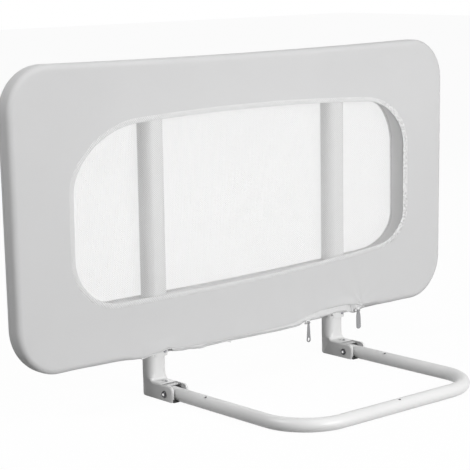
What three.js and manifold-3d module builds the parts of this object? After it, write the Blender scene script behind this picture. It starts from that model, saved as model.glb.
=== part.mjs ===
// Folding bed guard rail: a padded mesh panel on two uprights, hinged to a U-shaped base tube.
// Millimetres, +Z up, +X along the panel, -Y towards the bed. The origin is the middle of the
// footprint, on the surface that the base lies on.

import * as THREE from "three";
import { mergeVertices } from "three/addons/utils/BufferGeometryUtils.js";
import Module from "manifold-3d";

const wasm = await Module();
wasm.setup();

// Gaps between pieces that touch, overrun of cuts, and weld distance of meshes
const seatGap = 0.3;
const cutOverrun = 6;
const weldDistance = 0.0005;

// Panel outline; its cover hangs lower in the middle than at its corners
const panelWidth = 950;
const panelTop = 550;
const panelBottom = 70;
const panelTopSag = 5;
const panelBottomSag = 8;
const panelDepth = 36;
const panelCorner = 75;
const panelEdgeRound = 13;

// Cover cloth, with its seam near the back face and a slit for each upright
const clothThickness = 1.5;
const seamSetback = 10;
const slitMargin = 4;
const slitHeight = 9;

// Mesh window in both faces of the cover, and the binding sewn round it
const windowWidth = 731;
const windowBottom = 165;
const windowTop = 450;
const windowCorner = 85;
const netThickness = 0.6;
const netStrand = 5;
const netBorder = 6;
const netColumns = 14;
const netRows = 8;
const bindingWidth = 9;
const bindingThickness = 0.6;
const bindingLapShare = 0.5;

// Padding between the cover and the frame tube
const paddingReach = 40;
const paddingRound = 8;

// Frame hoop and crossbar
const frameTube = 22;
const frameWall = 1.2;
const frameInset = 19;
const frameCorner = 56;

// Uprights, rectangular tube with wide rounded edges in front and small ones behind
const uprightSpacing = 404;
const uprightWidth = 39;
const uprightDepth = 24.4;
const uprightWall = 1.5;
const uprightRoundAcross = 7;
const uprightRoundAlong = 12;
const uprightRearRound = 3;
const uprightSetForward = 4.05;
const uprightFoot = 64;
const coverSlack = 0.4;

// Base tube, bent into a U, and its plastic end plugs
const baseTube = 22;
const baseWall = 1.4;
const baseReach = 354;
const baseBend = 80;
const tailBehindPin = 18;
const plugFlange = 2;
const plugLength = 10;
const fixingHole = 4.5;
const fixingHoleReach = 136;

// Hinge bracket, a folded sheet channel with a column and a foot
const bracketWidth = 35;
const bracketSheet = 2;
const columnDepth = 19.9;
const columnTop = 150;
const footReach = 69;
const footHeight = 26;
const footNose = 8;
const footFillet = 4;
const foldRoundAcross = 5;
const foldRoundAlong = 3.5;
const columnRoundAcross = 6.5;
const columnRoundAlong = 9;
const heelRound = 4;
const toeRound = 4;
const webReach = 36.6;

// Hinge pin, a headed rivet, with a spacer on each side of the tube
const pinReach = 48.5;
const pinShank = 7.6;
const pinHead = 11;
const pinHeadThickness = 2.2;
const pinDimple = 4;
const pinDimpleDepth = 0.9;
const spacerDiameter = 16;

// Lock slide under the web of the foot, and the knob that works it through a slot
const lockNose = 1.5;
const lockTravel = 12.8;
const lockTail = 17.5;
const lockThickness = 1.1;
const lockStud = 2.8;
const lockStudReach = 32;
const lockKnob = 4.8;
const lockKnobHeight = 1.8;
const lockKnobSkin = 0.7;

// Screws that hold each upright to its bracket column
const screwShank = 4;
const screwHead = 5.8;
const screwHeadHeight = 2;
const screwSpacing = 22;
const screwHeight = 72;
const screwLength = 7;

// Zips along the lower front edge of the cover
const zipTapeWidth = 8;
const zipTapeThickness = 0.8;
const zipChainWidth = 4.4;
const zipChainHeight = 1.2;
const zipEndGap = 1.5;
const zipTilt = THREE.MathUtils.degToRad(73);
const innerSliderPlace = 124;
const outerSliderPlace = 247;
const sliderLength = 11;
const sliderWidth = 8;
const sliderBlade = 1.4;
const sliderFlange = 0.7;
const bridgeSpan = 7;
const bridgeBar = 1.4;
const bridgeRise = 2.4;
const pullThickness = 1.2;
const pullEye = 2.4;
const pullEyeWall = 0.9;
const taperPullLength = 35;
const taperPullWidth = 9;
const pullHoleWidth = 4.6;
const pullHoleLength = 6.6;
const pullHoleRim = 2;
const leafPullLength = 31;
const leafPullWidth = 8;

// Facet counts
const tubeSides = 16;
const bendSteps = 9;
const frameBendSteps = 5;
const cornerSteps = 6;
const edgeSteps = 8;
const sideSteps = 3;
const roundSteps = 4;
const turnedSides = 16;

// Places that follow from the sizes above
const halfPanel = panelWidth / 2;
const halfDepth = panelDepth / 2;
const armPlace = uprightSpacing / 2;
const zipOuterEnd = halfPanel - panelCorner;
const uprightFront = -(uprightDepth / 2 + uprightSetForward);
const uprightBack = uprightDepth / 2 - uprightSetForward;
const columnFront = -(columnDepth / 2 + uprightSetForward);
const columnBack = columnDepth / 2 - uprightSetForward;
const baseAxisHeight = baseTube / 2;
const rearReach = halfDepth + seatGap + bindingThickness;
const footprintMiddle = (baseReach + baseTube / 2 - rearReach) / 2;
const frameBottomHeight = panelBottom - panelBottomSag + frameInset + panelEdgeRound / 2;
const frameTopHeight = panelTop - panelTopSag - frameInset;
const webUnderside = footHeight - bracketSheet;

const whiteCoat = { color: 0xf2f2f0, roughness: 0.42, metalness: 0.1 };
const steel = { color: 0xb9bcc0, roughness: 0.3, metalness: 0.9 };
const greyCloth = { color: 0xc9cacc, roughness: 0.9, metalness: 0 };
const paleCloth = { color: 0xdcdddf, roughness: 0.9, metalness: 0 };
const whiteNet = { color: 0xf4f4f4, roughness: 0.85, metalness: 0 };
const whiteFoam = { color: 0xeeeeea, roughness: 0.95, metalness: 0 };
const greyPlastic = { color: 0x8c8f94, roughness: 0.55, metalness: 0 };
const zincCast = { color: 0xc4c6c8, roughness: 0.35, metalness: 0.8 };

const model = new THREE.Group();
const panel = new THREE.Group();
model.add(panel);
model.position.y = footprintMiddle;

function addPiece(parent, name, geometry, look) {
  const mesh = new THREE.Mesh(geometry, new THREE.MeshStandardMaterial(look));
  mesh.name = name;
  parent.add(mesh);
  return mesh;
}

// Joining and cutting of closed meshes
function toSolid(geometry) {
  const bare = geometry.clone();
  for (const name of Object.keys(bare.attributes)) {
    if (name !== "position") bare.deleteAttribute(name);
  }
  const welded = mergeVertices(bare, weldDistance);
  return new wasm.Manifold(new wasm.Mesh({
    numProp: 3,
    vertProperties: Float32Array.from(welded.attributes.position.array),
    triVerts: Uint32Array.from(welded.index.array),
  }));
}

function toGeometry(solid) {
  const mesh = solid.getMesh();
  const geometry = new THREE.BufferGeometry();
  geometry.setAttribute("position", new THREE.BufferAttribute(mesh.vertProperties, 3));
  geometry.setIndex(new THREE.BufferAttribute(mesh.triVerts, 1));
  geometry.computeVertexNormals();
  return geometry;
}

function cut(geometry, ...cutters) {
  return toGeometry(cutters.reduce((solid, cutter) => solid.subtract(toSolid(cutter)), toSolid(geometry)));
}

function join(geometry, ...others) {
  return toGeometry(others.reduce((solid, other) => solid.add(toSolid(other)), toSolid(geometry)));
}

// A box between two corners
function boxBetween(low, high) {
  const size = high.map((value, axis) => value - low[axis]);
  const box = new THREE.BoxGeometry(...size);
  return box.translate(...low.map((value, axis) => value + size[axis] / 2));
}

// A cylinder along one axis, from one place on that axis to another
function rodAlong(axis, radius, from, to, sides = turnedSides) {
  const rod = new THREE.CylinderGeometry(radius, radius, to - from, sides);
  rod.translate(0, (from + to) / 2, 0);
  if (axis === "x") rod.rotateZ(-Math.PI / 2);
  if (axis === "z") rod.rotateX(Math.PI / 2);
  return rod;
}

// A turned piece whose profile lists [radius, place along X]
function turnAlongX(profile) {
  const points = profile.map(([radius, place]) => new THREE.Vector2(radius, place));
  return new THREE.LatheGeometry(points, turnedSides).rotateZ(-Math.PI / 2);
}

// A polygon that lies round a circle, with a flat side facing down
function roundSection(radius, sides) {
  const corner = radius / Math.cos(Math.PI / sides);
  const points = [];
  for (let i = 0; i < sides; i += 1) {
    const angle = ((i + 0.5) / sides) * 2 * Math.PI;
    points.push(new THREE.Vector2(corner * Math.cos(angle), corner * Math.sin(angle)));
  }
  return points;
}

// A tube's route: straight runs between corners, each corner rounded to one bend radius
class BentRoute extends THREE.Curve {
  constructor(corners, bend, steps) {
    super();
    this.stations = [corners[0].clone()];
    for (let i = 1; i < corners.length - 1; i += 1) {
      this.addBend(corners[i - 1], corners[i], corners[i + 1], bend, steps);
    }
    this.stations.push(corners[corners.length - 1].clone());
  }

  addBend(before, corner, after, bend, steps) {
    const arriving = corner.clone().sub(before).normalize();
    const leaving = after.clone().sub(corner).normalize();
    const start = corner.clone().addScaledVector(arriving, -bend);
    const middle = start.clone().addScaledVector(leaving, bend);
    for (let k = 0; k <= steps; k += 1) {
      const turn = (k / steps) * (Math.PI / 2);
      this.stations.push(middle.clone()
        .addScaledVector(leaving, -bend * Math.cos(turn))
        .addScaledVector(arriving, bend * Math.sin(turn)));
    }
  }

  getPointAt(share) {
    return this.stations[Math.round(share * (this.stations.length - 1))].clone();
  }

  getPoint(share) {
    return this.getPointAt(share);
  }

  getTangentAt(share) {
    const last = this.stations.length - 1;
    const here = Math.round(share * last);
    const before = this.stations[Math.max(here - 1, 0)];
    const at = this.stations[here];
    const after = this.stations[Math.min(here + 1, last)];
    const arriving = at.clone().sub(before).normalize();
    const leaving = after.clone().sub(at).normalize();
    return arriving.add(leaving).normalize();
  }

  sweep(section) {
    return new THREE.ExtrudeGeometry(section, {
      steps: this.stations.length - 1,
      extrudePath: this,
    });
  }
}

function tubeSection(diameter, wall) {
  const shape = new THREE.Shape(roundSection(diameter / 2, tubeSides));
  shape.holes.push(new THREE.Path(roundSection(diameter / 2 - wall, tubeSides)));
  return shape;
}

// A shape drawn across Y and Z, extruded along X about the middle
function extrudeAcross(shape, width, extra = {}) {
  const settings = { depth: width, bevelEnabled: false, curveSegments: roundSteps, ...extra };
  const geometry = new THREE.ExtrudeGeometry(shape, settings);
  geometry.translate(0, 0, -width / 2);
  const turn = new THREE.Matrix4().makeBasis(
    new THREE.Vector3(0, 1, 0), new THREE.Vector3(0, 0, 1), new THREE.Vector3(1, 0, 0));
  return geometry.applyMatrix4(turn);
}

// A rectangle with rounded corners, centred on the origin
function roundedRectangle(width, height, corner) {
  const shape = new THREE.Shape();
  const x = width / 2;
  const y = height / 2;
  shape.moveTo(corner - x, -y);
  shape.lineTo(x - corner, -y);
  shape.absarc(x - corner, corner - y, corner, -Math.PI / 2, 0);
  shape.lineTo(x, y - corner);
  shape.absarc(x - corner, y - corner, corner, 0, Math.PI / 2);
  shape.lineTo(corner - x, y);
  shape.absarc(corner - x, y - corner, corner, Math.PI / 2, Math.PI);
  shape.lineTo(-x, corner - y);
  shape.absarc(corner - x, corner - y, corner, Math.PI, 1.5 * Math.PI);
  return shape;
}

// A tube's section from above: elliptical corners in front, round ones behind
function postSection(half, front, back, across, along, rear) {
  const shape = new THREE.Shape();
  shape.moveTo(half, front + along);
  shape.lineTo(half, back - rear);
  shape.absarc(half - rear, back - rear, rear, 0, Math.PI / 2);
  shape.lineTo(rear - half, back);
  shape.absarc(rear - half, back - rear, rear, Math.PI / 2, Math.PI);
  shape.lineTo(-half, front + along);
  shape.absellipse(across - half, front + along, across, along, Math.PI, 1.5 * Math.PI);
  shape.lineTo(half - across, front);
  shape.absellipse(half - across, front + along, across, along, 1.5 * Math.PI, 2 * Math.PI);
  return shape;
}

function extrudeUp(shape, from, to) {
  const settings = { depth: to - from, bevelEnabled: false, curveSegments: roundSteps };
  return new THREE.ExtrudeGeometry(shape, settings).translate(0, 0, from);
}

// Base tube: a U that lies flat, drilled for its hinge pins and for three fixing screws
function makeBaseTube() {
  const tail = tailBehindPin - pinReach;
  const route = new BentRoute([
    new THREE.Vector3(-armPlace, tail, baseAxisHeight),
    new THREE.Vector3(-armPlace, -baseReach, baseAxisHeight),
    new THREE.Vector3(armPlace, -baseReach, baseAxisHeight),
    new THREE.Vector3(armPlace, tail, baseAxisHeight),
  ], baseBend, bendSteps);
  const tube = route.sweep(tubeSection(baseTube, baseWall));
  const pinBores = [-1, 1].map((side) => {
    const bore = rodAlong("x", pinShank / 2 + seatGap, -baseTube, baseTube);
    return bore.translate(side * armPlace, -pinReach, baseAxisHeight);
  });
  const drill = (x, y) => rodAlong("z", fixingHole / 2, baseAxisHeight, baseTube + cutOverrun, bendSteps)
    .translate(x, y, 0);
  return cut(tube, ...pinBores, drill(-armPlace, -fixingHoleReach), drill(armPlace, -fixingHoleReach),
    drill(0, -baseReach));
}

// End plug: a flange that closes the tube's tail, with a plug inside the tube
function makeEndPlug() {
  const inside = baseTube / 2 - baseWall - seatGap;
  const profile = [
    new THREE.Vector2(0, -plugLength),
    new THREE.Vector2(inside, -plugLength),
    new THREE.Vector2(inside, seatGap),
    new THREE.Vector2(baseTube / 2, seatGap),
    new THREE.Vector2(baseTube / 2, seatGap + plugFlange / 2),
    new THREE.Vector2(inside, seatGap + plugFlange),
    new THREE.Vector2(0, seatGap + plugFlange),
  ];
  return new THREE.LatheGeometry(profile, turnedSides);
}

// Bracket: the fold line of its side, from the top of the column down and round to the foot's nose
function bracketOutline() {
  const behind = columnBack + cutOverrun;
  const shape = new THREE.Shape();
  shape.moveTo(behind, -cutOverrun);
  shape.lineTo(behind, columnTop + cutOverrun);
  shape.lineTo(columnFront, columnTop + cutOverrun);
  shape.lineTo(columnFront, footHeight + footFillet);
  shape.absarc(columnFront - footFillet, footHeight + footFillet, footFillet, 0, -Math.PI / 2, true);
  shape.lineTo(footNose - footReach, footHeight);
  shape.absarc(footNose - footReach, footHeight - footNose, footNose, Math.PI / 2, Math.PI);
  shape.lineTo(-footReach, -cutOverrun);
  return shape;
}

// The side of the bracket as it is trimmed, with a round heel and toe
function bracketSide() {
  const shape = new THREE.Shape();
  shape.moveTo(columnBack, heelRound);
  shape.lineTo(columnBack, columnTop);
  shape.lineTo(-footReach, columnTop);
  shape.lineTo(-footReach, toeRound);
  shape.absarc(toeRound - footReach, toeRound, toeRound, Math.PI, 1.5 * Math.PI);
  shape.lineTo(columnBack - heelRound, 0);
  shape.absarc(columnBack - heelRound, heelRound, heelRound, -Math.PI / 2, 0);
  return shape;
}

// The space between the cheeks of the foot, open below and ahead of the web
function footHollow() {
  const behind = columnBack + cutOverrun;
  const ahead = -footReach - cutOverrun;
  const shape = new THREE.Shape();
  shape.moveTo(behind, -cutOverrun);
  shape.lineTo(behind, webUnderside);
  shape.lineTo(-webReach, webUnderside);
  shape.lineTo(-webReach, footHeight + cutOverrun);
  shape.lineTo(ahead, footHeight + cutOverrun);
  shape.lineTo(ahead, -cutOverrun);
  return shape;
}

// The column is folded wider than the foot: its section, at a depth inside the sheet
function columnSection(depth) {
  const behind = columnBack + 2 * cutOverrun;
  return postSection(bracketWidth / 2 - depth, columnFront + depth, behind, columnRoundAcross - depth,
    columnRoundAlong - depth, cutOverrun);
}

function lockSlot() {
  const ends = lockStud / 2 + seatGap;
  const length = lockTravel + 2 * ends;
  const slot = new THREE.ExtrudeGeometry(roundedRectangle(2 * ends, length, ends), {
    depth: bracketSheet + 2 * cutOverrun,
    bevelEnabled: false,
    curveSegments: roundSteps,
  });
  return slot.translate(0, lockTravel / 2 - lockStudReach, webUnderside - cutOverrun);
}

function screwPlaces() {
  return [-screwSpacing / 2, screwSpacing / 2];
}

function makeBracket() {
  const body = extrudeAcross(bracketOutline(), bracketWidth - 2 * foldRoundAcross, {
    bevelEnabled: true,
    bevelThickness: foldRoundAcross,
    bevelSize: foldRoundAlong,
    bevelOffset: -foldRoundAlong,
    bevelSegments: roundSteps,
  });
  const column = extrudeUp(columnSection(0), 0, columnTop);
  const foot = boxBetween([-bracketWidth, -footReach - cutOverrun, -cutOverrun],
    [bracketWidth, columnBack + cutOverrun, footHeight + footFillet]);
  const side = extrudeAcross(bracketSide(), 2 * bracketWidth);
  const folded = toSolid(body).intersect(toSolid(join(column, foot))).intersect(toSolid(side));
  const pinBore = rodAlong("x", pinShank / 2 + seatGap, -bracketWidth, bracketWidth)
    .translate(0, -pinReach, baseAxisHeight);
  const screwBores = screwPlaces().map((x) => rodAlong("y", screwShank / 2 + seatGap,
    columnFront - cutOverrun, columnFront + cutOverrun, bendSteps).translate(x, 0, screwHeight));
  return cut(toGeometry(folded), extrudeUp(columnSection(bracketSheet), webUnderside, columnTop + cutOverrun),
    extrudeAcross(footHollow(), bracketWidth - 2 * bracketSheet), pinBore, lockSlot(), ...screwBores);
}

// Hinge pin: a rivet through both cheeks, with a dished head at each end
function makeHingePin() {
  const shank = pinShank / 2;
  const head = pinHead / 2;
  const face = bracketWidth / 2 + seatGap;
  const end = face + pinHeadThickness;
  const rim = head - pinHeadThickness / 2;
  return turnAlongX([
    [0, pinDimpleDepth - end], [pinDimple / 2, pinDimpleDepth - end], [pinDimple / 2, -end], [rim, -end],
    [head, -face - pinHeadThickness / 2], [head, -face], [shank, -face],
    [shank, face], [head, face], [head, face + pinHeadThickness / 2],
    [rim, end], [pinDimple / 2, end], [pinDimple / 2, end - pinDimpleDepth], [0, end - pinDimpleDepth],
  ]);
}

// Spacer: a ring on the pin between a cheek and the tube
function makeSpacer() {
  const inner = pinShank / 2 + seatGap;
  const outer = spacerDiameter / 2;
  const low = baseTube / 2 + seatGap;
  const high = bracketWidth / 2 - bracketSheet - seatGap;
  return turnAlongX([[inner, low], [outer, low], [outer, high], [inner, high], [inner, low]]);
}

// Lock slide: a plate under the web that keeps the tube down, with a stud up through the slot
function makeLockSlide() {
  const half = bracketWidth / 2 - bracketSheet - seatGap;
  const top = webUnderside - seatGap;
  const plate = boxBetween([-half, -pinReach - lockNose, top - lockThickness], [half, -lockTail, top]);
  const stud = rodAlong("z", lockStud / 2, top - lockThickness / 2, footHeight + seatGap + lockKnobHeight / 2)
    .translate(0, -lockStudReach, 0);
  return join(plate, stud);
}

// Lock knob: a cap pressed on the stud, on top of the web
function makeLockKnob() {
  const bottom = footHeight + seatGap;
  const top = bottom + lockKnobHeight;
  const outer = lockKnob / 2;
  const bore = lockStud / 2 + seatGap / 2;
  const roof = bottom + lockKnobHeight / 2 + seatGap / 2;
  const profile = [[bore, bottom], [outer, bottom], [outer, top - lockKnobSkin], [outer - lockKnobSkin, top],
    [0, top], [0, roof], [bore, roof], [bore, bottom]].map(([r, z]) => new THREE.Vector2(r, z));
  return new THREE.LatheGeometry(profile, turnedSides).rotateX(Math.PI / 2);
}

// Pan-head screw along Y, its head in front of the upright
function makeScrew() {
  const face = uprightFront - seatGap;
  const crown = face - screwHeadHeight;
  const profile = [
    [0, crown], [screwHead / 4, crown], [screwHead / 2, face - screwHeadHeight / 2], [screwHead / 2, face],
    [screwShank / 2, face], [screwShank / 2, face + screwLength], [0, face + screwLength],
  ].map(([r, y]) => new THREE.Vector2(r, y));
  return new THREE.LatheGeometry(profile, turnedSides / 2);
}

// Frame: a hoop whose ends butt on the outer sides of the uprights, and a crossbar between them
function makeFrameHoop(diameter, wall) {
  const side = halfPanel - frameInset;
  const start = armPlace + uprightWidth / 2 + seatGap;
  const route = new BentRoute([
    new THREE.Vector3(-start, -uprightSetForward, frameBottomHeight),
    new THREE.Vector3(-side, -uprightSetForward, frameBottomHeight),
    new THREE.Vector3(-side, -uprightSetForward, frameTopHeight),
    new THREE.Vector3(side, -uprightSetForward, frameTopHeight),
    new THREE.Vector3(side, -uprightSetForward, frameBottomHeight),
    new THREE.Vector3(start, -uprightSetForward, frameBottomHeight),
  ], frameCorner, frameBendSteps);
  return route.sweep(wall ? tubeSection(diameter, wall) : new THREE.Shape(roundSection(diameter / 2, tubeSides)));
}

function makeCrossbar(diameter, wall) {
  const end = armPlace - uprightWidth / 2 - seatGap;
  const route = new THREE.LineCurve3(
    new THREE.Vector3(-end, -uprightSetForward, frameBottomHeight),
    new THREE.Vector3(end, -uprightSetForward, frameBottomHeight));
  const section = wall ? tubeSection(diameter, wall) : new THREE.Shape(roundSection(diameter / 2, tubeSides));
  return new THREE.ExtrudeGeometry(section, { steps: 1, extrudePath: route });
}

// Upright: a rectangular tube whose top end is coped to the hoop
function makeUpright() {
  const outer = postSection(uprightWidth / 2, uprightFront, uprightBack, uprightRoundAcross,
    uprightRoundAlong, uprightRearRound);
  const inner = postSection(uprightWidth / 2 - uprightWall, uprightFront + uprightWall,
    uprightBack - uprightWall, uprightRoundAcross - uprightWall, uprightRoundAlong - uprightWall,
    uprightRearRound - uprightWall);
  outer.holes.push(new THREE.Path(inner.getPoints(roundSteps)));
  const tube = extrudeUp(outer, uprightFoot, frameTopHeight);
  const screwBores = screwPlaces().map((x) => rodAlong("y", screwShank / 2 + seatGap,
    uprightFront - cutOverrun, uprightFront + cutOverrun, bendSteps).translate(x, 0, screwHeight));
  const cope = rodAlong("x", frameTube / 2 + 2 * seatGap, -uprightWidth, uprightWidth)
    .translate(0, -uprightSetForward, frameTopHeight);
  return cut(tube, cope, ...screwBores);
}

// The panel's outline at a distance in from its edge, as the same number of stations each time
function roundedLoop(side, bottom, top, corner, bottomSag, topSag) {
  const loop = [];
  const sagged = (x, z, sag) => [x, z - sag * (1 - (x / halfPanel) ** 2)];
  const addCorner = (signX, z, from, sag) => {
    for (let k = 0; k <= cornerSteps; k += 1) {
      const angle = from + (k / cornerSteps) * (Math.PI / 2);
      const x = signX * (side - corner) + corner * Math.cos(angle);
      const height = z + corner * Math.sin(angle);
      loop.push(sagged(x, height, sag));
    }
  };
  const addRun = (count, place) => {
    for (let k = 1; k < count; k += 1) loop.push(place(k / count));
  };
  const run = 2 * (side - corner);
  const upright = top - bottom - 2 * corner;
  addCorner(1, bottom + corner, -Math.PI / 2, bottomSag);
  addRun(sideSteps, (share) => [side, bottom + corner + share * upright]);
  addCorner(1, top - corner, 0, topSag);
  addRun(edgeSteps, (share) => sagged(side - corner - share * run, top, topSag));
  addCorner(-1, top - corner, Math.PI / 2, topSag);
  addRun(sideSteps, (share) => [-side, top - corner - share * upright]);
  addCorner(-1, bottom + corner, Math.PI, bottomSag);
  addRun(edgeSteps, (share) => sagged(corner - side + share * run, bottom, bottomSag));
  return loop;
}

function panelLoop(inset) {
  return roundedLoop(halfPanel - inset, panelBottom + inset, panelTop - inset, panelCorner - inset,
    panelBottomSag, panelTopSag);
}

function windowLoop(inset) {
  return roundedLoop(windowWidth / 2 - inset, windowBottom + inset, windowTop - inset, windowCorner - inset,
    0, 0);
}

// A closed ring surface through loops that each lie at one place along Y
function loftRing(rings) {
  const stations = rings[0].loop.length;
  const positions = [];
  const index = [];
  for (const { loop, y } of rings) {
    for (const [x, z] of loop) positions.push(x, y, z);
  }
  const at = (ring, station) => (ring % rings.length) * stations + (station % stations);
  for (let r = 0; r < rings.length; r += 1) {
    for (let s = 0; s < stations; s += 1) {
      index.push(at(r, s), at(r, s + 1), at(r + 1, s + 1));
      index.push(at(r, s), at(r + 1, s + 1), at(r + 1, s));
    }
  }
  const geometry = new THREE.BufferGeometry();
  geometry.setAttribute("position", new THREE.Float32BufferAttribute(positions, 3));
  geometry.setIndex(index);
  return facingOut(geometry);
}

function facingOut(geometry) {
  const place = geometry.attributes.position;
  const order = geometry.index.array;
  const corner = [new THREE.Vector3(), new THREE.Vector3(), new THREE.Vector3()];
  let volume = 0;
  for (let i = 0; i < order.length; i += 3) {
    corner.forEach((point, k) => point.fromBufferAttribute(place, order[i + k]));
    volume += corner[0].dot(corner[1].clone().cross(corner[2]));
  }
  if (volume < 0) {
    for (let i = 0; i < order.length; i += 3) [order[i], order[i + 1]] = [order[i + 1], order[i]];
  }
  geometry.computeVertexNormals();
  return geometry;
}

// Rings of a rounded edge: from the seam, round the edge, to where the flat face starts
function edgeRings(inset, sideY, faceY, round) {
  const rings = [{ loop: panelLoop(inset), y: sideY }];
  const out = Math.sign(faceY);
  for (let k = 0; k <= roundSteps; k += 1) {
    const angle = (k / roundSteps) * (Math.PI / 2);
    rings.push({
      loop: panelLoop(inset + round * (1 - Math.cos(angle))),
      y: faceY - out * round * (1 - Math.sin(angle)),
    });
  }
  return rings;
}

// Slits in the cover's underside where the uprights pass
function slitCutters() {
  const wide = uprightWidth / 2 + slitMargin;
  const front = -halfDepth - cutOverrun;
  const back = uprightBack + slitMargin;
  return [-armPlace, armPlace].map((x) => boxBetween([x - wide, front, panelBottom - cutOverrun - panelBottomSag],
    [x + wide, back, panelBottom + slitHeight]));
}

// Half of the cover: a cloth shell from the seam, round the edge, and in to the window
function makeCoverHalf(out) {
  const seam = halfDepth - seamSetback;
  const face = out * halfDepth;
  const sideY = out < 0 ? seam - seatGap : seam;
  const outerRings = edgeRings(0, sideY, face, panelEdgeRound);
  outerRings.push({ loop: windowLoop(0), y: face });
  const thin = face - out * clothThickness;
  const innerRound = panelEdgeRound - clothThickness;
  const innerRings = edgeRings(clothThickness, sideY, thin, innerRound).reverse();
  const shell = loftRing([...outerRings, { loop: windowLoop(0), y: thin }, ...innerRings]);
  return cut(shell, ...slitCutters());
}

// Padding: a soft ring under the cover's edge, bored for the frame and slit for the uprights
function makePadding() {
  const skin = clothThickness + coverSlack;
  const front = -(halfDepth - skin);
  const back = halfDepth - skin;
  const round = panelEdgeRound - skin;
  const outer = edgeRings(skin, 0, front, round).slice(1);
  const rear = edgeRings(skin, 0, back, round).slice(1).reverse();
  const middle = paddingReach - paddingRound;
  const ring = loftRing([
    ...rear, ...outer,
    { loop: panelLoop(middle), y: front }, { loop: panelLoop(paddingReach), y: front + paddingRound },
    { loop: panelLoop(paddingReach), y: back - paddingRound }, { loop: panelLoop(middle), y: back },
  ]);
  const bore = frameTube + 2 * coverSlack;
  const wide = uprightWidth / 2 + coverSlack;
  const pockets = [-armPlace, armPlace].map((x) => boxBetween(
    [x - wide, -halfDepth - cutOverrun, panelBottom - panelBottomSag - cutOverrun],
    [x + wide, uprightBack + coverSlack, frameTopHeight + coverSlack]));
  return cut(ring, makeFrameHoop(bore, 0), makeCrossbar(bore, 0), ...pockets);
}

// Whether a place lies in the window, at least a margin from its edge
function inWindow(x, z, margin) {
  const corner = windowCorner - margin;
  const sideX = windowWidth / 2 - windowCorner;
  const low = windowBottom + windowCorner;
  const high = windowTop - windowCorner;
  const beyondX = Math.max(Math.abs(x) - sideX, 0);
  const beyondZ = Math.max(low - z, z - high, 0);
  return Math.hypot(beyondX, beyondZ) <= corner;
}

// Window net: a flat sheet with staggered diamond gaps
function makeNet(out) {
  const outline = windowLoop(seatGap).map(([x, z]) => new THREE.Vector2(x, z));
  const sheet = new THREE.Shape(outline);
  const stepX = (windowWidth - 2 * netBorder) / netColumns;
  const stepZ = (windowTop - windowBottom - 2 * netBorder) / netRows;
  const reachX = (stepX - netStrand) / 2;
  const reachZ = stepZ - netStrand / 2;
  for (let row = 1; row < netRows; row += 1) {
    const shift = (row % 2) * (stepX / 2);
    const z = windowBottom + netBorder + row * stepZ;
    for (let column = 0; column <= netColumns; column += 1) {
      const x = column * stepX + shift + netBorder - windowWidth / 2;
      const tips = [[x - reachX, z], [x, z - reachZ], [x + reachX, z], [x, z + reachZ]];
      if (tips.every(([tipX, tipZ]) => inWindow(tipX, tipZ, netBorder))) {
        sheet.holes.push(new THREE.Path(tips.map(([tipX, tipZ]) => new THREE.Vector2(tipX, tipZ))));
      }
    }
  }
  const net = new THREE.ExtrudeGeometry(sheet, { depth: netThickness, bevelEnabled: false });
  net.rotateX(Math.PI / 2);
  const middle = out * (halfDepth - clothThickness / 2);
  return net.translate(0, middle + netThickness / 2, 0);
}

// Binding: a flat ribbon sewn over the edge between cloth and net
function makeBinding(out) {
  const inner = windowLoop(bindingWidth * bindingLapShare);
  const outer = windowLoop(-bindingWidth * (1 - bindingLapShare));
  const near = out * (halfDepth + seatGap);
  const far = near + out * bindingThickness;
  return loftRing([{ loop: inner, y: near }, { loop: outer, y: near }, { loop: outer, y: far },
    { loop: inner, y: far }]);
}

// Zips lie on the rounded lower front edge, each on a straight line that touches it midway
function coverBottomAt(x) {
  return panelBottom - panelBottomSag * (1 - (x / halfPanel) ** 2);
}

function zipFrame(from, to) {
  const middle = (from + to) / 2;
  const slope = (2 * panelBottomSag * middle) / halfPanel ** 2;
  const line = new THREE.Group();
  line.position.set(middle, panelEdgeRound - halfDepth, coverBottomAt(middle) + panelEdgeRound);
  line.rotation.y = -Math.atan(slope);
  const tilted = new THREE.Group();
  tilted.rotation.x = -zipTilt;
  line.add(tilted);
  panel.add(line);
  return { line, tilted, middle, half: (to - from) / 2 };
}

const zipBase = panelEdgeRound + seatGap;
const zipChainFace = zipBase + zipTapeThickness + zipChainHeight;
const sliderFace = zipChainFace + seatGap;
const bridgeHeight = sliderFace + sliderBlade + bridgeRise;

function makeZipTape(half) {
  const tape = zipTapeWidth / 2;
  const chain = zipChainWidth / 2;
  const top = -(zipBase + zipTapeThickness);
  const shape = new THREE.Shape();
  shape.moveTo(-tape, -zipBase);
  shape.lineTo(-tape, top);
  shape.lineTo(-chain, top);
  shape.lineTo(-chain, -zipChainFace);
  shape.lineTo(chain, -zipChainFace);
  shape.lineTo(chain, top);
  shape.lineTo(tape, top);
  shape.lineTo(tape, -zipBase);
  return extrudeAcross(shape, 2 * half);
}

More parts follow.
